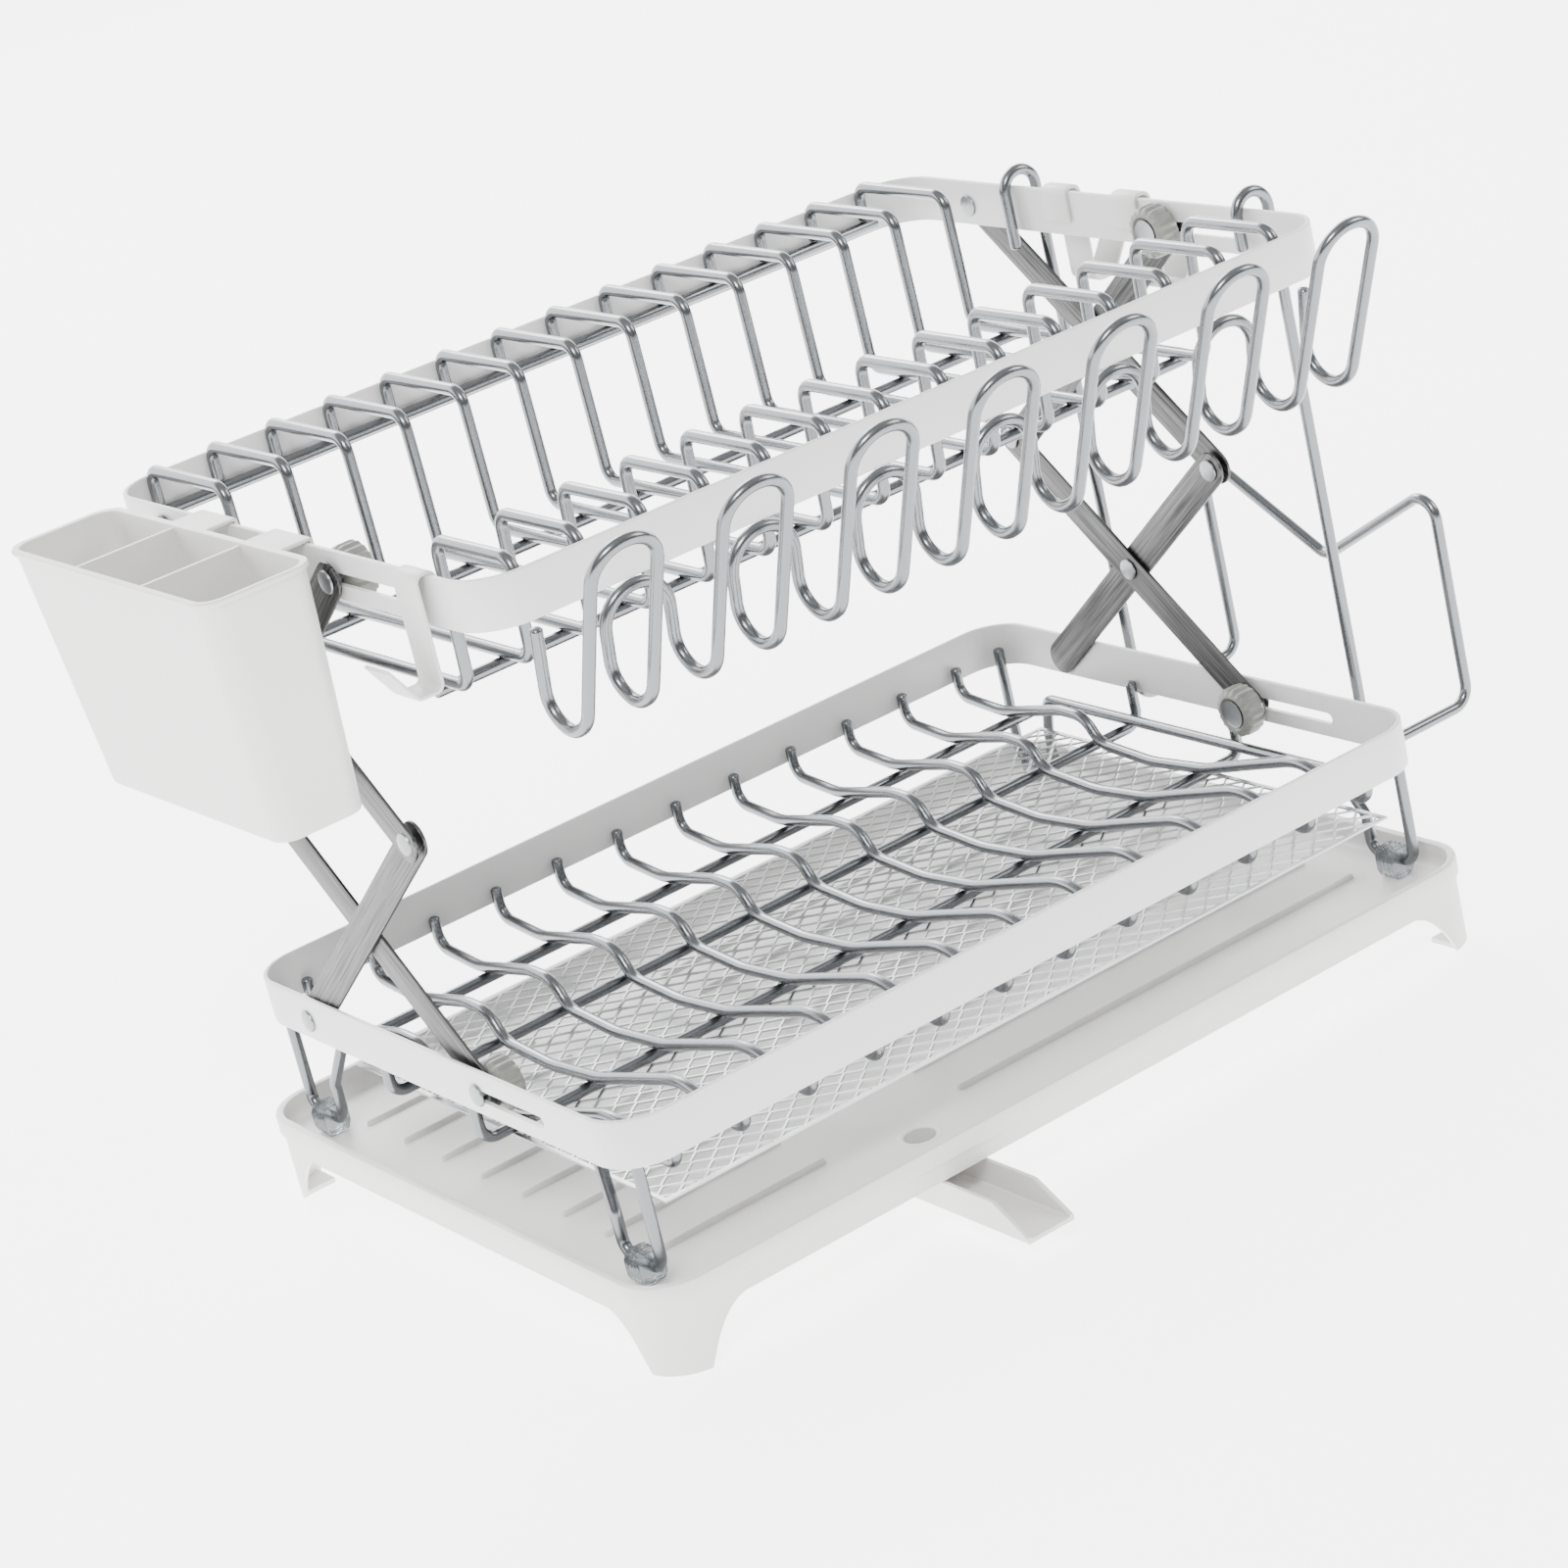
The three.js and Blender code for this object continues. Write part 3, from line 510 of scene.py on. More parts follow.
def rounded_rectangle(half_x: float, half_y: float, radius: float, straight: int = 40,
                      corner: int = 12) -> np.ndarray:
    """Points round a rectangle with round corners; straight sides are sampled closer at their ends.

    A corner is centre + radius (cos t, sin t), and a side runs on by half of 1 - cos of an even step.

    Args:
        half_x: Half the length along X.
        half_y: Half the length along Y.
        radius: Corner radius.
        straight: Steps along a side.
        corner: Points on a corner.

    Returns:
        Points anticlockwise, n by 2.
    """
    radius = max(radius, 0.01)
    lean = 0.5 - 0.5 * np.cos(np.linspace(0, math.pi, straight, endpoint=False)[1:])
    turn = np.linspace(0, math.pi / 2, corner)
    cx, cy = half_x - radius, half_y - radius
    parts = []
    for k, (sx, sy) in enumerate(((1, 1), (-1, 1), (-1, -1), (1, -1))):
        t = turn + k * math.pi / 2
        arc = np.stack([sx * cx + radius * np.cos(t), sy * cy + radius * np.sin(t)], -1)
        nxt = ((-1, 1), (-1, -1), (1, -1), (1, 1))[k]
        t_end = (k + 1) * math.pi / 2
        stop = np.array([nxt[0] * cx + radius * math.cos(t_end), nxt[1] * cy + radius * math.sin(t_end)])
        parts += [arc, arc[-1] + (stop - arc[-1]) * lean[:, None]]
    return np.concatenate(parts)


def prism(outline: np.ndarray, low: float, high: float) -> Shape:
    """An outline in X and Y carried from one Z to another, with its two end faces."""
    return capped([level(outline, low), level(outline, high)])


def turned(points: np.ndarray, x_axis: Point, y_axis: Point, z_axis: Point, origin: Point) -> np.ndarray:
    """Points of a local frame, given by its axes and origin, in the common frame."""
    return points @ np.array([x_axis, y_axis, z_axis]) + np.array(origin)


def lathe(profile: Sequence[tuple[float, float]], sides: int = 32) -> Shape:
    """A profile turned about Z: x and y are the radius times cos and sin of the turn.

    Args:
        profile: Radius and height of each point; it closes, or its ends lie on the axis.
        sides: Sides of the round.

    Returns:
        Vertices and quads.
    """
    curve = np.array(profile, dtype=float)
    u = np.linspace(0, 2 * math.pi, sides, endpoint=False)
    x = curve[:, :1] * np.cos(u)
    y = curve[:, :1] * np.sin(u)
    z = np.repeat(curve[:, 1:], sides, 1)
    return np.stack([x, y, z], -1).reshape(-1, 3), grid_faces(len(curve), sides)


@dataclass
class Place:
    """Where the rack stands: the middle of the tray, in millimetres of the common frame."""

    origin: np.ndarray
    bodies: dict[str, list[str]]

    @classmethod
    def measured(cls, frame: dict) -> "Place":
        """Reads the tray's box and the list of bodies.

        Args:
            frame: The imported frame.

        Returns:
            The place.
        """
        low, high = (np.array(corner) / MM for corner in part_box("drip_tray"))
        middle = (low + high) / 2
        return cls(np.array([middle[0], middle[1], 0.0]), frame["record"]["behaviour"]["bodies"])

    def body_of(self, node: str) -> str:
        """The body that holds a node."""
        return next(body for body, nodes in self.bodies.items() if node in nodes)

    def box(self, node: str) -> tuple[np.ndarray, np.ndarray]:
        """A node's corners in millimetres from the middle of the tray."""
        low, high = (np.array(corner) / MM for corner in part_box(node))
        return low - self.origin, high - self.origin

    def piece(self, name: str, shape: Shape, finish: Finish, body: str, nodes: Sequence[str] = (),
              bevel: float = 0.0, angle: float = 40.0) -> bpy.types.Object:
        """Makes one finished piece from a shape in tray millimetres.

        Args:
            name: The piece's name.
            shape: Vertices and faces.
            finish: Its surface finish.
            body: The body it rides on.
            nodes: The frame nodes it stands for.
            bevel: Width of a Bevel modifier in millimetres, or 0.
            angle: Sharp edges are steeper than this, in degrees.

        Returns:
            The object.
        """
        vertices, faces = shape
        made = mesh_object(name, (vertices + self.origin) * MM, faces, True, angle)
        made.data.materials.append(finish.material())
        if bevel:
            tool = made.modifiers.new("edge", "BEVEL")
            tool.width = bevel * MM
            tool.segments = 3
            tool.limit_method = "ANGLE"
            tool.angle_limit = math.radians(40)
            tool.harden_normals = True
        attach(made, body)
        if nodes:
            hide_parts(*nodes)
        LOG.info("%s: %d faces", name, len(made.data.polygons))
        return made


@dataclass
class Bands:
    """The two painted strip frames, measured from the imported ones.

    Attributes:
        place: Where the rack stands.
        wall: Thickness of the strip.
        edge: Radius of its edges.
        corner: Outer radius of its corners.
        slot_travel: How far a pin slides in its slot.
        slot_half: Half the width of a slot, and the radius of a pivot hole.
        pin_rise: Height of the pins above the lower edge.
        rear_pivot: Distance of the pivot holes from the back.
        front_pin: Distance of the sliding pins from the front, at rest.
    """

    place: Place
    wall: float = 2.0
    edge: float = 0.7
    corner: float = 22.0
    slot_travel: float = 47.0
    slot_half: float = 2.6
    pin_rise: float = 9.35
    rear_pivot: float = 51.0
    front_pin: float = 107.0

    def __post_init__(self) -> None:
        """Reads the lengths from the lower band and the heights from both."""
        low, high = self.place.box("lower_band")
        self.half_l, self.half_d = float(high[0]), float(high[1])
        self.low_z, self.low_top = float(low[2]), float(high[2])
        low, high = self.place.box("upper_band")
        self.high_z, self.high_top = float(low[2]), float(high[2])
        self.inner_l = self.half_l - self.wall
        self.weld_y = self.half_d - self.wall - WIRE_R - GAP
        self.pivot_y = self.half_d - self.rear_pivot
        self.slide_y = -self.half_d + self.front_pin
        self.low_pin = self.low_z + self.pin_rise
        self.high_pin = self.high_z + self.pin_rise
        self.mid_pin = (self.low_pin + self.high_pin) / 2

    def strip(self, low: float, high: float) -> Shape:
        """A thin wall carried round the frame: a section with four rounded corners, one ring to each point.

        Args:
            low: Height of its lower edge.
            high: Height of its upper edge.

        Returns:
            Vertices and quads.
        """
        r = self.edge
        t = np.linspace(0, math.pi / 2, 4)
        section = []
        for cx, cz, a in ((r, low + r, math.pi), (self.wall - r, low + r, 1.5 * math.pi),
                          (self.wall - r, high - r, 0.0), (r, high - r, 0.5 * math.pi)):
            section += [(cx + r * math.cos(a + s), cz + r * math.sin(a + s)) for s in t]
        rings = []
        for inset, z in section:
            loop = rounded_rectangle(self.half_l - inset, self.half_d - inset, self.corner - inset, 40, 14)
            rings.append(level(loop, z))
        grid = np.array(rings)
        return grid.reshape(-1, 3), grid_faces(len(rings), grid.shape[1], True)

    def cutter(self, pin_z: float) -> bpy.types.Object:
        """The slots and pivot holes as one solid.

        Args:
            pin_z: Height of their middles.

        Returns:
            The cutting object.
        """
        t = np.linspace(-math.pi / 2, math.pi / 2, 9)
        front, rear = self.slide_y - self.slot_travel, self.slide_y
        right = np.stack([rear + self.slot_half * np.cos(t), self.slot_half * np.sin(t)], -1)
        left = np.stack([front - self.slot_half * np.cos(t), -self.slot_half * np.sin(t)], -1)
        slot = np.concatenate([right, left])
        u = np.linspace(0, 2 * math.pi, 20, endpoint=False)
        hole = np.stack([self.pivot_y + self.slot_half * np.cos(u), self.slot_half * np.sin(u)], -1)
        parts = []
        for outline in (slot, hole):
            for side in Side:
                points, faces = prism(outline, 0, 20)
                x0 = side.value * self.half_l - 10
                parts.append((turned(points, (0, 1, 0), (0, 0, 1), (1, 0, 0), (x0, 0, pin_z)), faces))
        points, faces = merged(parts)
        return mesh_object("band_cutter", (points + self.place.origin) * MM, faces, False)

    def build(self) -> None:
        """Makes both bands, with their slots cut."""
        for node, low, high, pin in (("lower_band", self.low_z, self.low_top, self.low_pin),
                                     ("upper_band", self.high_z, self.high_top, self.high_pin)):
            made = self.place.piece(f"{node}_painted", self.strip(low, high), PAINT,
                                    self.place.body_of(node), [node])
            cut_with(made, self.cutter(pin))


def cut_with(target: bpy.types.Object, cutter: bpy.types.Object) -> None:
    """Cuts one object's mesh by another's.

    Args:
        target: The object that is cut.
        cutter: The cutting object, which is removed.
    """
    tool = target.modifiers.new("cut", "BOOLEAN")
    tool.operation = "DIFFERENCE"
    tool.object = cutter
    tool.solver = "EXACT"
    bpy.context.view_layer.update()
    graph = bpy.context.evaluated_depsgraph_get()
    result = bpy.data.meshes.new_from_object(target.evaluated_get(graph))
    target.modifiers.remove(tool)
    old = target.data
    target.data = result
    target.data.materials.clear()
    target.data.materials.append(old.materials[0])
    target.data.shade_smooth()
    target.data.set_sharp_from_angle(angle=math.radians(40))
    bpy.data.objects.remove(cutter)


@dataclass
class WireWork:
    """Every bent wire of the two racks."""

    place: Place
    bands: Bands

    def wire(self, node: str, knots: Sequence[Point], bend: float | Sequence[float] = 7.0) -> None:
        """Bends one wire and puts it in the place of its frame node.

        Args:
            node: The frame node.
            knots: Corner points.
            bend: Bend radius, one for all or one for each corner.
        """
        line = bent_line(knots, bend)
        shape = swept(line, WIRE_R)
        self.place.piece(f"{node}_wire", shape, WIRE_FINISH, self.place.body_of(node), [node])

    def in_plane(self, node: str, outline: Sequence[tuple[float, float]],
                 bend: float | Sequence[float] = 7.0) -> None:
        """Bends a wire in the plane of its node's middle X.

        Args:
            node: The frame node.
            outline: Y and Z of the corner points.
            bend: Bend radius, one for all or one for each corner.
        """
        low, high = self.place.box(node)
        x = float(low[0] + high[0]) / 2
        self.wire(node, [(x, y, z) for y, z in outline], bend)

    def numbered(self, stem: str) -> list[str]:
        """All nodes whose names start with a stem."""
        return sorted(n for nodes in self.place.bodies.values() for n in nodes if n.startswith(stem))

    def plate_rack(self) -> None:
        """The plate wires with their two humps, and the long wires that carry them."""
        b = self.bands
        peg, trough, d = b.low_pin - 1, b.low_z - 15.5, b.half_d
        outline = [
            (b.weld_y, peg), (b.weld_y, trough + 9), (d - 38, trough + 6.5), (d - 83, trough + 15),
            (d - 100, trough + 14.5), (d - 108, trough + 2.5), (d - 145, trough), (113 - d, trough + 3.5),
            (81 - d, trough + 11.5), (48 - d, trough + 19.5), (-b.weld_y, trough + 7), (-b.weld_y, peg),
        ]
        bends = [8, 45, 30, 26, 24, 60, 70, 70, 34, 9]
        for node in self.numbered("plate_wire_"):
            self.in_plane(node, outline, bends)
        end = b.inner_l - WIRE_R - GAP
        pitch = 2 * WIRE_R + GAP
        for node, y, z, pegs in (("rear_long_wire", d - 40, trough + 6.7 - pitch, False),
                                 ("middle_long_wire", d - 102, trough + 0.1, True),
                                 ("front_long_wire", 123.5 - d, trough + 2.2 - pitch, True)):
            x = end if pegs else b.inner_l - 17
            knots = [(-x, y, z), (x, y, z)]
            if pegs:
                knots = [(-x, y, peg - 2), *knots, (x, y, peg - 2)]
            self.wire(node, knots)

    def legs(self) -> None:
        """The two bent leg wires."""
        b = self.bands
        corner = (b.corner - b.wall - WIRE_R - GAP) * math.sqrt(0.5)
        x, y = b.half_l - b.corner + corner, b.half_d - b.corner + corner
        floor = self.place.box("left_leg_wire")[0][2] + WIRE_R - 0.35
        for side in Side:
            s = side.value
            half = [(s * x, y, b.low_pin + 1), (s * x, y, floor), (s * x, y - 27, floor),
                    (s * x, y - 27, floor + 18), (s * (x - 4), y - 37, b.low_z - 8.8)]
            other = [(px, -py, pz) for px, py, pz in reversed(half)]
            self.wire(f"{side.name.lower()}_leg_wire", half + other)

    def basket(self) -> None:
        """The basket wires, their rear rail and the wire under their floor."""
        b = self.bands
        crest = b.high_top + 3.2
        floor, d = crest - 61, b.half_d
        outline = [
            (b.weld_y, b.high_z + 7.5), (b.weld_y, crest), (d - 70, crest), (d - 72, floor),
            (62 - d, floor), (59 - d, crest), (-b.weld_y, crest), (-b.weld_y, b.high_z + 3),
        ]
        for node in self.numbered("basket_wire_"):
            self.in_plane(node, outline)
        low, high = self.place.box("basket_rear_rail")
        z = float(low[2] + high[2]) / 2
        self.wire("basket_rear_rail", [(float(low[0]), b.weld_y, z), (float(high[0]), b.weld_y, z)])
        x, z = b.inner_l - 15, floor - 2 * WIRE_R - 0.1
        self.wire("basket_floor_wire", [(-x, d - 92, z), (x, d - 92, z), (x, 86 - d, z), (-x, 86 - d, z)])

    def cup_hanger(self) -> None:
        """One long wire: down behind, under, up in front and over to the next leg."""
        b = self.bands
        run = b.high_z - WIRE_R - GAP
        low, back = run - 42, -b.half_d
        points: list[Point] = []
        for i, x in enumerate(np.linspace(21 - b.half_l, b.half_l - 21, 14)):
            leg = [(x, back + 1, run), (x, back + 7, low + 9), (x, back - 6, low), (x, back - 19, low + 6),
                   (x, back - 52, run + 36)]
            points += leg if i % 2 == 0 else leg[::-1]
        self.wire("cup_hanger", points, 14.5)

    def board_holder(self) -> None:
        """The wire stand for boards on the right."""
        b = self.bands
        low, high = self.place.box("board_holder")
        inside = b.inner_l - WIRE_R - 4 * GAP
        down = float(self.place.box("drip_tray")[1][0]) + WIRE_R + 0.4
        out, front, rear = down + 62, float(low[1]) + WIRE_R, float(high[1]) - WIRE_R
        knots = [
            (inside, front, b.high_z + 3), (inside, front, 337), (down, front, 337), (down, front, 74),
            (out, front, 74), (out, front, 177), (out, (front + rear) / 2, 134), (out, rear, 177),
            (out, rear, 74), (down, rear, 74), (down, rear, 337), (inside, rear, 337),
            (inside, rear, b.high_z - 8),
        ]
        self.wire("board_holder", knots, 9)

    def build(self) -> None:
        """Bends all the wires."""
        self.plate_rack()
        self.legs()
        self.basket()
        self.cup_hanger()
        self.board_holder()


@dataclass
class ScissorArms:
    """The eight flat bars with their rivets, and the four thumb knobs.

    A bar is drawn flat, its first pin at the origin and the last along X, and then stood up.

    Attributes:
        place: Where the rack stands.
        bands: The two frames that the bars join.
        width: Width of a bar.
        thick: Thickness of a bar.
        lower_front_x: Distance of that layer's inner face from the middle; the others likewise.
    """

    place: Place
    bands: Bands
    width: float = 16.0
    thick: float = 1.6
    lower_front_x: float = 209.2
    lower_rear_x: float = 211.1
    upper_rear_x: float = 215.4
    upper_front_x: float = 217.3

    def __post_init__(self) -> None:
        """Works out the pitch and tilt of the bars."""
        b = self.bands
        run, rise = b.pivot_y - b.slide_y, b.mid_pin - b.low_pin
        self.pitch = math.hypot(run, rise)
        self.tilt = math.atan2(rise, run)

    def blade(self) -> Shape:
        """A flat bar with round ends and softened edges, as rings stacked through its thickness.

        Each ring is a half circle round each end, and the first and last shrink to the middle line.

        Returns:
            Vertices and quads.
        """
        t = np.linspace(-math.pi / 2, math.pi / 2, 25)
        rings = []
        r = self.width / 2
        for inset, z in ((r, 0), (0.5, 0), (0.12, 0.12), (0, 0.4), (0, self.thick - 0.4),
                         (0.12, self.thick - 0.12), (0.5, self.thick), (r, self.thick)):
            right = np.stack([self.pitch + (r - inset) * np.cos(t), (r - inset) * np.sin(t)], -1)
            left = np.stack([-(r - inset) * np.cos(t), -(r - inset) * np.sin(t)], -1)
            rings.append(level(np.concatenate([right, left]), z))
        grid = np.array(rings)
        return grid.reshape(-1, 3), grid_faces(len(rings), grid.shape[1])

    def rivet(self, at: float, start: float, end: float, radius: float = 5.0) -> Shape:
        """A domed rivet turned about its pin, with its head at the far end.

        Args:
            at: Its place along the bar.
            start: Height where the pin starts.
            end: Height under the head.
            radius: Radius of the head.

        Returns:
            Vertices and quads.
        """
        s = math.copysign(1, end - start)
        head, pin = 1.35, 2.2
        profile = [(0, start), (pin, start), (pin, end), (radius - 0.2, end), (radius, end + s * 0.3),
                   (radius - 0.25, end + s * 0.8), (radius * 0.55, end + s * head), (0, end + s * head)]
        points, faces = lathe(profile, 28)
        return points + np.array([at, 0, 0]), faces

    def stand(self, shape: Shape, side: Side, layer: float, y: float, z: float, angle: float) -> Shape:
        """Turns a flat shape up into its layer.

        Args:
            shape: Vertices and faces.
            side: The end of the rack.
            layer: Distance of the layer from the middle.
            y: Y of the first pin.
            z: Height of the first pin.
            angle: Angle of the shape's X axis above Y, in radians.

        Returns:
            Vertices and faces.
        """
        points, faces = shape
        along = (0.0, math.cos(angle), math.sin(angle))
        out = (float(side.value), 0.0, 0.0)
        across = tuple(np.cross(out, along))
        return turned(points, along, across, out, (side.value * layer, y, z)), faces

    def bars(self) -> None:
        """All bars; the two that lean back are turned past the upright."""
        b, half, fore, back = self.bands, self.pitch / 2, self.tilt, math.pi - self.tilt
        front, rear = self.lower_front_x, self.lower_rear_x
        high_rear, high_front = self.upper_rear_x, self.upper_front_x
        low_rivets = [(0, 0.5, b.half_l + GAP - rear), (half, 0.5, front - GAP - rear)]
        high_rivets = [(self.pitch, 0.5, b.inner_l - GAP - high_rear),
                       (half, 0.5, high_front + self.thick + GAP - high_rear),
                       (0, 0.5, rear - GAP - high_rear), (0, 0.4, 1.3)]
        plans = (
            ("lower_rear_bar", rear, b.pivot_y, b.low_pin, back, low_rivets),
            ("lower_front_bar", front, b.slide_y, b.low_pin, fore, []),
            ("upper_rear_bar", high_rear, b.slide_y, b.mid_pin, fore, high_rivets),
            ("upper_front_bar", high_front, b.pivot_y, b.mid_pin, back, [(0, 0.5, front - GAP - high_front)]),
        )
        for side in Side:
            for stem, layer, y, z, angle, rivets in plans:
                node = f"{side.name.lower()}_{stem}"
                body = self.place.body_of(node)
                shape = self.stand(self.blade(), side, layer, y, z, angle)
                finish = brushed("brushed_fore" if angle == fore else "brushed_back", -angle)
                self.place.piece(f"{node}_blade", shape, finish, body, [node], angle=30)
                if rivets:
                    heads = merged([self.rivet(*plan) for plan in rivets])
                    heads = self.stand(heads, side, layer, y, z, angle)
                    self.place.piece(f"{node}_rivets", heads, RIVET, body)

    def grip(self, seat: float, thick: float = 11.5) -> Shape:
        """A thumb knob: radius plus a lobe times cos(18 angle), faded out on the faces.

        Args:
            seat: Height of the face that bears on the rack.
            thick: Thickness of the knob.

        Returns:
            Vertices and quads.
        """
        rows = np.array([(0, 0, 0), (8.2, 0, 0), (9.6, 0.5, 0.2), (10.9, 1.6, 1), (11.3, 3.2, 1),
                         (11.3, 8.6, 1), (10.8, 10.2, 1), (9.2, 11.3, 0.3), (7.8, 11.5, 0), (7.2, 10.8, 0),
                         (6.6, 10.4, 0), (0, 10.4, 0)])
        u = np.linspace(0, 2 * math.pi, 144, endpoint=False)
        radius = rows[:, :1] + rows[:, 2:] * 0.45 * np.cos(18 * u)
        z = np.repeat(seat - rows[:, 1:2] * thick / 11.5, len(u), 1)
        points = np.stack([radius * np.cos(u), radius * np.sin(u), z], -1)
        return points.reshape(-1, 3), grid_faces(len(rows), len(u))

    def knobs(self) -> None:
        """A knob and its screw at each front pin."""
        b, front, high_front, thick = self.bands, self.lower_front_x, self.upper_front_x, self.thick
        low = (front - GAP, front + thick + GAP, b.inner_l - GAP, b.half_l + GAP, b.low_pin)
        high = (b.inner_l - GAP, b.half_l + GAP, high_front - GAP, high_front + thick + GAP, b.high_pin)
        for side in Side:
            s = float(side.value)
            axes = ((0.0, s, 0.0), (0.0, 0.0, 1.0), (s, 0.0, 0.0))
            for level, (seat, near, far, head, z) in (("lower", low), ("upper", high)):
                node = f"{side.name.lower()}_{level}_knob"
                body = self.place.body_of(node)
                origin = (0, b.slide_y, z)
                points, faces = self.grip(seat)
                grip = (turned(points, *axes, origin), faces)
                self.place.piece(f"{node}_grip", grip, KNOB_GREY, body, [node])
                screw = lathe([(0, seat - 9.2), (2.1, seat - 9.2), (2.1, near), (4, near), (4, far),
                               (2.1, far), (2.1, head), (4.9, head), (5, head + 0.4), (4.6, head + 1),
                               (2.6, head + 1.35), (0, head + 1.35)], 28)
                washer = lathe([(0, seat - 11.1), (5.8, seat - 11.1), (6.4, seat - 11.4), (6.2, seat - 10.6),
                                (0, seat - 10.6)], 32)
                points, faces = merged([screw, washer])
                metal = (turned(points, *axes, origin), faces)
                self.place.piece(f"{node}_screw", metal, RIVET, body)

    def build(self) -> None:
        """Makes the bars and the knobs."""
        self.bars()
        self.knobs()


@dataclass
class DripTray:
    """The moulded tray on four corner feet, its ribs, its drain and the swivelling spout.

    Attributes:
        place: Where the rack stands.
        corner: Outer radius of the rim's corners.
        rim_top: Height of the rim.
        step_z: Height of the step under the rim.
        step: How far the skirt stands in from the rim.
        skirt_z: Height of the openings between the feet.
        floor_top: Height of the floor.
        wall: Thickness of the skirt.
        foot_run: Length of side that a foot takes at its top.
        foot_toe: Length of side that a foot takes on the counter.
        pad_top: Height of the pad in a foot.
        rib_pitch: Distance between ribs.
        bore: Radius of the drain.
    """

    place: Place
    corner: float = 24.0
    rim_top: float = 40.3
    step_z: float = 32.0
    step: float = 1.5
    skirt_z: float = 24.0
    floor_top: float = 30.0
    wall: float = 2.4
    foot_run: float = 41.0
    foot_toe: float = 19.0
    pad_top: float = 2.4
    rib_pitch: float = 31.7
    bore: float = 7.0

    def __post_init__(self) -> None:
        """Reads the tray's half length and half depth."""
        high = self.place.box("drip_tray")[1]
        self.half_l, self.half_d = float(high[0]), float(high[1])
        self.drain = (-68.5, 32.4 - self.half_d)

    def body(self) -> Shape:
        """The shell: rounded rectangles up the outside, over the rim, down the inside and across the floor.

        Returns:
            Vertices and faces.
        """
        s, hollow = self.step, self.step + self.wall
        ledge, rim, floor = self.step_z, self.rim_top, self.floor_top
        profile = [(hollow, floor - 2), (hollow, 0.4), (hollow - 0.3, 0), (s + 0.4, 0), (s, 0.4),
                   (s, ledge - 1.2), (s - 0.25, ledge - 0.4), (0.5, ledge), (0.12, ledge + 0.2),
                   (0, ledge + 0.8), (0, rim - 1), (0.3, rim - 0.3), (1, rim), (2.9, rim),
                   (3.6, rim - 0.3), (hollow, rim - 1), (hollow, floor + 4.5), (4.4, floor + 2.2),
                   (5.7, floor + 0.7), (8, floor)]
        rings = []
        for inset, z in profile:
            loop = rounded_rectangle(self.half_l - inset, self.half_d - inset, self.corner - inset, 30, 14)
            rings.append(level(loop, z))
        return capped(rings)

    def arch(self, half: float) -> np.ndarray:
        """The opening between two feet: a straight top and a quadratic curve down to each toe.

        Args:
            half: Half the length of the side.

        Returns:
            Points of the outline, n by 2.
        """
        toe, knee, shoulder = half - self.foot_toe, half - self.foot_toe - 9, half - self.foot_run
        t = np.linspace(0, 1, 15)[:, None]
        ends = np.array([[toe, -1], [knee, self.skirt_z - 3], [shoulder, self.skirt_z]])
        right = (1 - t) ** 2 * ends[0] + 2 * t * (1 - t) * ends[1] + t ** 2 * ends[2]
        return np.concatenate([right, (right * (-1, 1))[::-1]])

    def cutters(self) -> list[bpy.types.Object]:
        """Both arches and the drain bore.

        Returns:
            One cutting object for each.
        """
        span = self.half_l * 2
        points, faces = prism(self.arch(self.half_d), -span, span)
        first = turned(points, (0, 1, 0), (0, 0, 1), (1, 0, 0), (0, 0, 0))
        more, more_faces = prism(self.arch(self.half_l), -span, span)
        second = turned(more, (1, 0, 0), (0, 0, 1), (0, -1, 0), (0, 0, 0))
        u = np.linspace(0, 2 * math.pi, 40, endpoint=False)
        hole = np.stack([np.cos(u), np.sin(u)], -1) * self.bore + np.array(self.drain)
        bore, bore_faces = prism(hole, self.floor_top - 10, self.floor_top + 5)
        shapes = ((first, faces), (second, more_faces), (bore, bore_faces))
        return [mesh_object(f"tray_cut_{i}", (points + self.place.origin) * MM, polygons, False)
                for i, (points, polygons) in enumerate(shapes)]

    def pads(self) -> Shape:
        """A flat pad under each foot: the corner of the skirt's outline, closed by two straight sides.

        Returns:
            Vertices and faces.
        """
        skirt_x, skirt_y = self.half_l - self.wall, self.half_d - self.wall
        loop = rounded_rectangle(skirt_x, skirt_y, self.corner - self.wall, 8, 14)
        parts, inner_x, inner_y = [], self.half_l - self.foot_toe, self.half_d - self.foot_toe
        arc = loop[(loop[:, 0] > inner_x) & (loop[:, 1] > inner_y)]
        outline = np.concatenate([[[skirt_x, inner_y]], arc, [[inner_x, skirt_y]], [[inner_x, inner_y]]])
        for sx in (-1, 1):
            for sy in (-1, 1):
                corner = outline * (sx, sy)
                parts.append(prism(corner if sx * sy > 0 else corner[::-1], 0.2, self.pad_top))
        return merged(parts)

    def ribs(self) -> Shape:
        """Low round-topped ribs in two groups, left and right of the drain: round bars stretched upwards.

        Returns:
            Vertices and quads.
        """
        parts = []
        half_width, rise, margin, first, floor = 1.5, 2.2, 35.5, 43.9, self.floor_top
        edge = self.half_l - 30
        for i in range(8):
            y = self.half_d - first - self.rib_pitch * i
            for x0, x1 in ((-edge, self.drain[0] - margin), (self.drain[0] + margin, edge)):
                line = np.linspace([x0, y, floor], [x1, y, floor], 5)
                points, faces = swept(line, half_width, 20)
                points[:, 2] = floor + (points[:, 2] - floor) * rise / half_width
                parts.append((points, faces))
        return merged(parts)

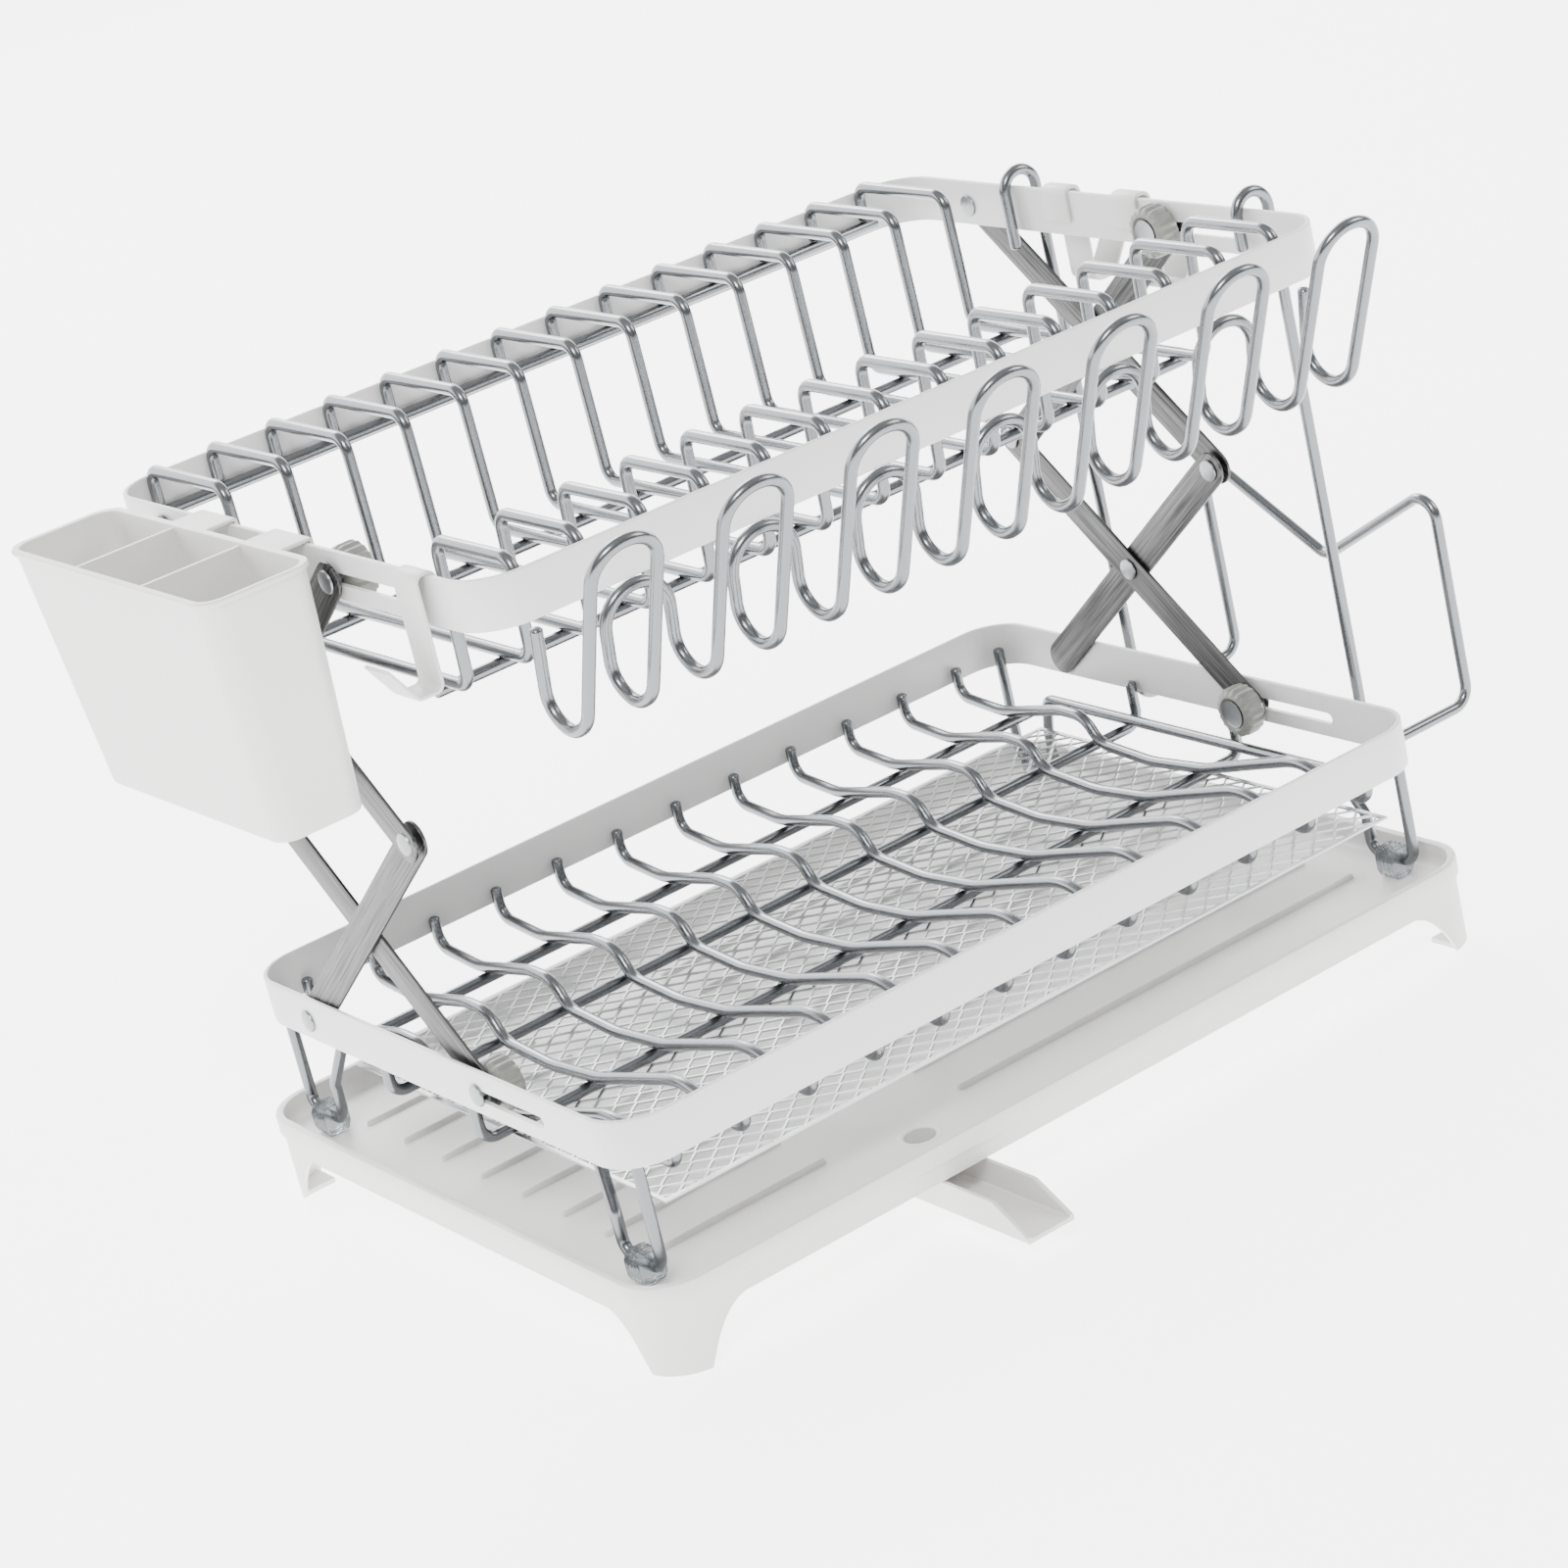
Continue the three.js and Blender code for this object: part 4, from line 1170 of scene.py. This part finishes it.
    def pipe(self) -> Shape:
        """The drain pipe with a raised ring round its mouth, as a closed profile turned about Z.

        Returns:
            Vertices and quads.
        """
        outer, inner, foot, mouth = 9.7, self.bore, 12.8, self.floor_top + 0.35
        tube = [(outer, 28), (outer, foot + 0.4), (outer - 0.4, foot), (inner + 0.4, foot),
                (inner, foot + 0.4), (inner, mouth - 0.45), (inner + 0.6, mouth), (outer - 0.5, mouth),
                (outer, mouth - 0.35), (outer, 28)]
        points, faces = lathe(tube, 48)
        return points + np.array([*self.drain, 0]), faces

    def spout(self) -> Shape:
        """An open channel round the pipe, its sides sloping down to the tip.

        The wall is one U outline drawn outside and inside; sides end lower towards the tip.

        Returns:
            Vertices and faces.
        """
        half, wall, low, top, reach, slope = 12.0, 1.8, 8.0, 22.0, 79.0, 20.0
        t = np.linspace(0, math.pi, 33)

        def outline(r: float) -> np.ndarray:
            """A U of one radius, from the right tip round the back to the left tip.

            Args:
                r: The radius.

            Returns:
                Points, n by 2.
            """
            run = np.linspace(-reach, 0, 28, endpoint=False)
            right = np.stack([np.full(28, r), run], -1)
            bend = np.stack([r * np.cos(t), r * np.sin(t)], -1)
            return np.concatenate([right, bend, right[::-1] * (-1, 1)])

        outer, inner = outline(half), outline(half - wall)
        share = np.clip((outer[:, 1] + reach) / slope, 0, 1)
        crest = low + wall + 1 + (top - low - wall - 1) * np.minimum(1, share)
        rings = [(outer * 0.96, low), (outer, low + 0.5),
                 (outer, crest - 0.4), (outer * 0.7 + inner * 0.3, crest), (outer * 0.3 + inner * 0.7, crest),
                 (inner, crest - 0.4), (inner, low + wall + 0.6), (inner * 0.94, low + wall)]
        grid = np.array([level(xy, z) for xy, z in rings])
        for ring in grid:
            ring[0, 1] = ring[-1, 1] = -reach
        n = grid.shape[1]
        i, j = np.meshgrid(np.arange(len(rings) - 1), np.arange(n - 1), indexing="ij")
        corner = i * n + j
        faces = np.stack([corner, corner + 1, corner + n + 1, corner + n], -1).reshape(-1, 4).tolist()
        last = (len(rings) - 1) * n
        faces += [list(range(n))[::-1], list(range(last, last + n))]
        ends = [k * n for k in range(len(rings))] + [k * n + n - 1 for k in reversed(range(len(rings)))]
        faces.append(ends)
        return grid.reshape(-1, 3) + np.array([*self.drain, 0]), faces

    def build(self) -> None:
        """Makes the tray and its spout."""
        made = self.place.piece("drip_tray_shell", self.body(), PLASTIC, "tray", ["drip_tray"], angle=35)
        for tool in self.cutters():
            cut_with(made, tool)
        self.place.piece("drip_tray_pads", self.pads(), PLASTIC, "tray", angle=30)
        self.place.piece("drip_tray_ribs", self.ribs(), PLASTIC, "tray")
        self.place.piece("drip_tray_pipe", self.pipe(), PLASTIC, "tray")
        self.place.piece("drain_spout_channel", self.spout(), PLASTIC, "spout", ["drain_spout"], angle=35)


@dataclass
class DrainMesh:
    """Expanded metal: strands zigzag along X and meet their neighbours at the knots.

    Strand k lies at y + k pitch plus a share of the pitch times a triangle wave in x, turned over on
    every other strand.

    Attributes:
        place: Where the rack stands.
        cell: Length of a cell.
        pitch: Distance between strands.
        strand: Width of a strand.
        border: Width of the plain edge.
    """

    place: Place
    cell: float = 12.5
    pitch: float = 6.0
    strand: float = 1.25
    border: float = 2.0

    def build(self) -> None:
        """Makes the sheet with a plain border strip."""
        low, high = self.place.box("drain_mesh")
        top, bottom = float(high[2]) - 0.05, float(low[2]) + 0.05
        length = float(high[0] - low[0])
        cells = round((length - 4) / self.cell)
        x = np.linspace(float(low[0]) + 1, float(high[0]) - 1, 2 * cells + 1)
        count = int((float(high[1] - low[1]) - 4) / self.pitch)
        rows = np.linspace(float(low[1]) + 3.6, float(high[1]) - 3.6, count)
        wave = np.where(np.arange(len(x)) % 2 == 0, 1.0, -1.0) * self.pitch * 0.42
        sign = np.where(np.arange(count) % 2 == 0, 1.0, -1.0)
        y = rows[:, None] + sign[:, None] * wave
        half = self.strand / 2
        section = np.array([(-half, bottom), (half, bottom), (half, top), (-half, top)])
        grid = np.empty((count, len(x), 4, 3))
        grid[..., 0] = x[None, :, None]
        grid[..., 1] = y[:, :, None] + section[:, 0]
        grid[..., 2] = section[:, 1]
        k = len(x)
        quads = grid_faces(k, 4)
        ends = np.array([[3, 2, 1, 0], [0, 1, 2, 3]]) + [[0], [(k - 1) * 4]]
        one = np.concatenate([quads, ends])
        faces = (one[None] + (np.arange(count) * k * 4)[:, None, None]).reshape(-1, 4)
        parts = [(grid.reshape(-1, 3), faces)]
        (x0, y0), (x1, y1), rim = low[:2], high[:2], self.border
        strips = ((x0, x1, y0, y0 + rim), (x0, x1, y1 - rim, y1), (x0, x0 + rim, y0 + rim, y1 - rim),
                  (x1 - rim, x1, y0 + rim, y1 - rim))
        for lo_x, hi_x, lo_y, hi_y in strips:
            outline = np.array([(lo_x, lo_y), (hi_x, lo_y), (hi_x, hi_y), (lo_x, hi_y)], dtype=float)
            parts.append(prism(outline, bottom - 0.02, top + 0.02))
        sheet = merged(parts)
        self.place.piece("drain_mesh_sheet", sheet, MESH_FINISH, "lower_rack", ["drain_mesh"], angle=20)


@dataclass
class Feet:
    """Clear ribbed sleeves round the bottoms of the leg wires, each as large as its frame node."""

    place: Place

    def sleeve(self, node: str) -> Shape:
        """A barrel along Y: a squared circle whose size dips with a cosine between its ribs.

        Args:
            node: The frame node that it fills.

        Returns:
            Vertices and quads.
        """
        low, high = self.place.box(node)
        middle, half = (low + high) / 2, (high - low) / 2
        n = 31
        s = np.linspace(-1, 1, n)
        end = np.clip((1 - np.abs(s)) / 0.12, 0, 1) ** 0.5
        rib = 1 - 0.16 * (0.5 - 0.5 * np.cos(s * math.pi * 5))
        u = np.linspace(0, 2 * math.pi, 14, endpoint=False)
        square = (np.abs(np.cos(u)) ** 4 + np.abs(np.sin(u)) ** 4) ** -0.25
        scale = (rib * end)[:, None]
        x = middle[0] + half[0] * scale * np.clip(square * np.cos(u), -1, 1)
        z = middle[2] + half[2] * scale * np.clip(square * np.sin(u), -1, 1)
        y = np.repeat((middle[1] + half[1] * s)[:, None], len(u), 1)
        return np.stack([x, y, z], -1).reshape(-1, 3), grid_faces(n, len(u))

    def build(self) -> None:
        """Makes the four sleeves."""
        for node in self.place.bodies["lower_rack"]:
            if node.endswith("_foot"):
                self.place.piece(f"{node}_sleeve", self.sleeve(node), CLEAR, "lower_rack", [node], angle=8)


@dataclass
class HungPieces:
    """The utensil cup and the flat hooks on the upper band.

    Attributes:
        place: Where the rack stands.
        bands: The frames that they hang on.
        cup_gap: Distance of the cup from the band.
        sheet: Thickness of the cup's tabs and the hooks.
        tab_width: Width of a tab.
        tab_places: Y of the two tabs.
        strap_x: Distance of the hooks' straps from the middle.
    """

    place: Place
    bands: Bands
    cup_gap: float = 15.0
    sheet: float = 1.55
    tab_width: float = 28.0
    tab_places: tuple[float, float] = (52.0, -9.0)
    strap_x: float = 220.0

    def cup_loop(self, box: tuple[float, float, float, float], radius: float, z: float) -> np.ndarray:
        """A rounded rectangle between two corners at one height.

        Args:
            box: X and Y of one corner, then of the other.
            radius: Corner radius.
            z: The height.

        Returns:
            Points, n by 3.
        """
        x0, y0, x1, y1 = box
        loop = rounded_rectangle((x1 - x0) / 2, (y1 - y0) / 2, radius, 24, 10)
        return level(loop + ((x0 + x1) / 2, (y0 + y1) / 2), z)

    def cup_body(self) -> Shape:
        """The tapered shell, its rolled rim and its inside, as stacked rounded rectangles.

        Each ring has a share of the way up the taper, a growth past the wall, a radius and a height.

        Returns:
            Vertices and faces.
        """
        low, high = self.place.box("utensil_cup")
        top, bottom = float(high[2]), float(low[2])
        x0, y0, y1 = float(low[0]) + 1.5, float(low[1]) + 1.5, float(high[1]) - 1.5
        x1 = -self.bands.half_l - self.cup_gap
        rings = []
        for share, grow, radius, z in (
                (0, -1.2, 8, bottom), (0, -0.3, 9, bottom + 0.4), (0.01, 0, 9.5, bottom + 1.4),
                (0.97, 0, 9.5, top - 2.6), (0.975, 0.9, 10, top - 2.5), (0.98, 1.4, 10.4, top - 2),
                (0.99, 1.45, 10.4, top - 0.7), (1, 0.8, 10, top), (1, -0.9, 8.6, top),
                (1, -1.7, 8.2, top - 0.3), (1, -2, 8, top - 0.9), (0.03, -2, 8, bottom + 3.6),
                (0.02, -3.4, 6.6, bottom + 2.2)):
            slope = 9 * (1 - share)
            limit = min(grow, 1.0)
            box = (x0 + slope - grow, y0 + slope - grow, x1 + limit, y1 - slope + grow)
            rings.append(self.cup_loop(box, radius, z))
        return capped(rings)

    def walls(self) -> Shape:
        """The two walls between the compartments, narrower and closer together at the bottom.

        Returns:
            Vertices and faces.
        """
        low, high = self.place.box("utensil_cup")
        top, bottom = float(high[2]) - 1.2, float(low[2]) + 1.5
        x0, x1 = float(low[0]) + 1.5, -self.bands.half_l - self.cup_gap
        middle = float(low[1] + high[1]) / 2
        width = float(high[1] - low[1]) - 5
        parts = []
        for k in (-1, 1):
            rings = []
            for span, z, inset in ((width - 18, bottom, 10), (width, top, 1.4)):
                y, near, far = middle + k * span / 6, x0 + inset, x1 - 1
                rings.append([(near, y - 1, z), (far, y - 1, z), (far, y + 1, z), (near, y + 1, z)])
            parts.append(capped(rings))
        return merged(parts)

    def ribbon(self, line: Sequence[Point], bend: float, across: Point, width: float) -> Shape:
        """A flat strip of one thickness along a bent line, with its edges softened.

        Args:
            line: Corner points of the strip's middle.
            bend: Bend radius.
            across: Unit vector over the strip's width.
            width: Width of the strip.

        Returns:
            Vertices and faces.
        """
        path = bent_line(line, bend, 0.2)
        tangents = carried_frames(path)[0]
        side = np.array(across)
        out = np.cross(tangents, side)
        w, h, r = width / 2, self.sheet / 2, 0.45
        right = np.array([(w - r, -h), (w - 0.12, r * 0.25 - h), (w, r - h), (w, h - r),
                          (w - 0.12, h - r * 0.25), (w - r, h)])
        section = np.concatenate([right, -right])
        return capped(path[:, None] + side * section[None, :, :1] + out[:, None] * section[None, :, 1:])

    def cup(self) -> None:
        """The cup, its inner walls and the two tabs that carry it."""
        body = "utensil_cup"
        self.place.piece("utensil_cup_shell", self.cup_body(), PLASTIC, body, ["utensil_cup"], angle=35)
        self.place.piece("utensil_cup_walls", self.walls(), PLASTIC, body, bevel=0.4)
        inner, top = self.bands.inner_l - GAP - 0.8, self.bands.high_top + GAP + 0.8
        x1 = -self.bands.half_l - self.cup_gap - 0.6
        tabs = []
        for y in self.tab_places:
            line = [(x1, y, top), (-inner, y, top), (-inner, y, top - 14.8)]
            tabs.append(self.ribbon(line, 0.9, (0, 1, 0), self.tab_width))
        self.place.piece("utensil_cup_tabs", merged(tabs), PLASTIC, body, angle=35)

    def hook(self, node: str) -> None:
        """One flat hook: a lip inside the band, a strap down outside it and a toe that turns up.

        Args:
            node: The hook's frame node, which is also its body.
        """
        low, high = self.place.box(node)
        side = -1 if high[0] < 0 else 1
        y = float(low[1] + high[1]) / 2
        top = float(high[2]) - 0.8
        inner = self.bands.inner_l - GAP - 0.8
        lip, strap = side * inner, side * self.strap_x
        floor = float(low[2]) + 0.85
        toe = max(abs(float(low[0])), abs(float(high[0]))) - 0.9
        line = [(lip, y, top - 15), (lip, y, top), (strap, y, top), (strap, y, floor),
                (strap + side * 11, y, floor), (side * toe, y, floor + 15)]
        shape = self.ribbon(line, 3.2, (0, 1, 0), float(high[1] - low[1]) - 0.05)
        self.place.piece(f"{node}_strap", shape, HOOK_PAINT, node, [node], angle=35)

    def build(self) -> None:
        """Makes the cup and the three hooks."""
        self.cup()
        for node in ("left_hook", "right_rear_hook", "right_front_hook"):
            self.hook(node)


@dataclass
class Studio:
    """A pale floor, soft lights, a sky and the camera.

    Attributes:
        spot: Where the camera stands, in metres.
        turn: Its turn about X, Y and Z, in degrees.
        lens: Its focal length in millimetres.
    """

    spot: Point = (-0.9245, -1.4486, 0.7967)
    turn: Point = (68.704, 12.557, -36.392)
    lens: float = 99.0

    def floor(self) -> None:
        """A wide pale floor that curves up behind: flat, then a quarter circle, then upright."""
        material = bpy.data.materials.new("studio_floor")
        shader = Shader(material)
        plain = shader.coordinates()
        white = shader.tint(shader.noise(plain, 3, 2), (0.9, 0.9, 0.9), (0.92, 0.92, 0.92))
        shader.set(Base__Color=white, Roughness=0.7, Emission__Color=white, Emission__Strength=3.6)
        t = np.linspace(0, math.pi / 2, 13)
        y = np.concatenate([[-40.0], 3 + 1.5 * np.sin(t), [4.5]])
        z = np.concatenate([[-0.001], 1.499 - 1.5 * np.cos(t), [6.0]])
        x = np.array([-40.0, 40.0])
        grid = np.stack(np.broadcast_arrays(x[None], y[:, None], z[:, None]), -1)
        rows = np.arange(len(y) - 1) * 2
        faces = np.stack([rows, rows + 1, rows + 3, rows + 2], -1)
        floor = mesh_object("floor", grid.reshape(-1, 3), faces)
        floor.data.materials.append(material)

    def light(self, name: str, spot: Point, size: float, power: float) -> None:
        """One square area light aimed at the rack.

        Args:
            name: The light's name.
            spot: Where it stands, in metres.
            size: Length of its side, in metres.
            power: Power in watts.
        """
        lamp = bpy.data.lights.new(name, "AREA")
        lamp.size = size
        lamp.energy = power
        made = bpy.data.objects.new(name, lamp)
        made.location = spot
        made.rotation_euler = (Vector((0, 0, 0.15)) - Vector(spot)).to_track_quat("-Z", "Y").to_euler()
        bpy.context.scene.collection.objects.link(made)

    def sky(self) -> bpy.types.World:
        """A sky that is bright overhead and grey at the horizon, so that metal shows its form.

        Returns:
            The world.
        """
        world = bpy.data.worlds.new("sky")
        shader = Shader(world, "Background")
        direction = shader.add("ShaderNodeTexCoord", output="Generated")
        height = shader.add("ShaderNodeSeparateXYZ", None, {"Vector": direction}, "Z")
        stops = ((0.0, (0.2, 0.2, 0.21)), (0.8, (1.0, 1.0, 1.0)))
        shader.set(Color=shader.add("ShaderNodeValToRGB", {"stops": stops}, {"Fac": height}), Strength=1.1)
        return world

    def build(self) -> None:
        """Sets up the floor, lights, sky and camera."""
        self.floor()
        self.light("key", (-1.6, -1.8, 2.6), 1.0, 120)
        self.light("fill", (2.2, -1.2, 1.8), 1.2, 40)
        self.light("back", (0.6, 2.4, 2.2), 1.2, 70)
        bpy.context.scene.world = self.sky()
        camera = bpy.data.cameras.new("camera")
        camera.lens = self.lens
        made = bpy.data.objects.new("camera", camera)
        made.location = self.spot
        made.rotation_euler = [math.radians(angle) for angle in self.turn]
        bpy.context.scene.collection.objects.link(made)
        bpy.context.scene.camera = made


def main() -> None:
    """Builds the whole scene round the frame."""
    logging.basicConfig(level=logging.INFO, format="%(message)s")
    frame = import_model()
    place = Place.measured(frame)
    bands = Bands(place)
    bands.build()
    WireWork(place, bands).build()
    ScissorArms(place, bands).build()
    DripTray(place).build()
    DrainMesh(place).build()
    Feet(place).build()
    HungPieces(place, bands).build()
    Studio().build()


if __name__ == "__main__":
    main()
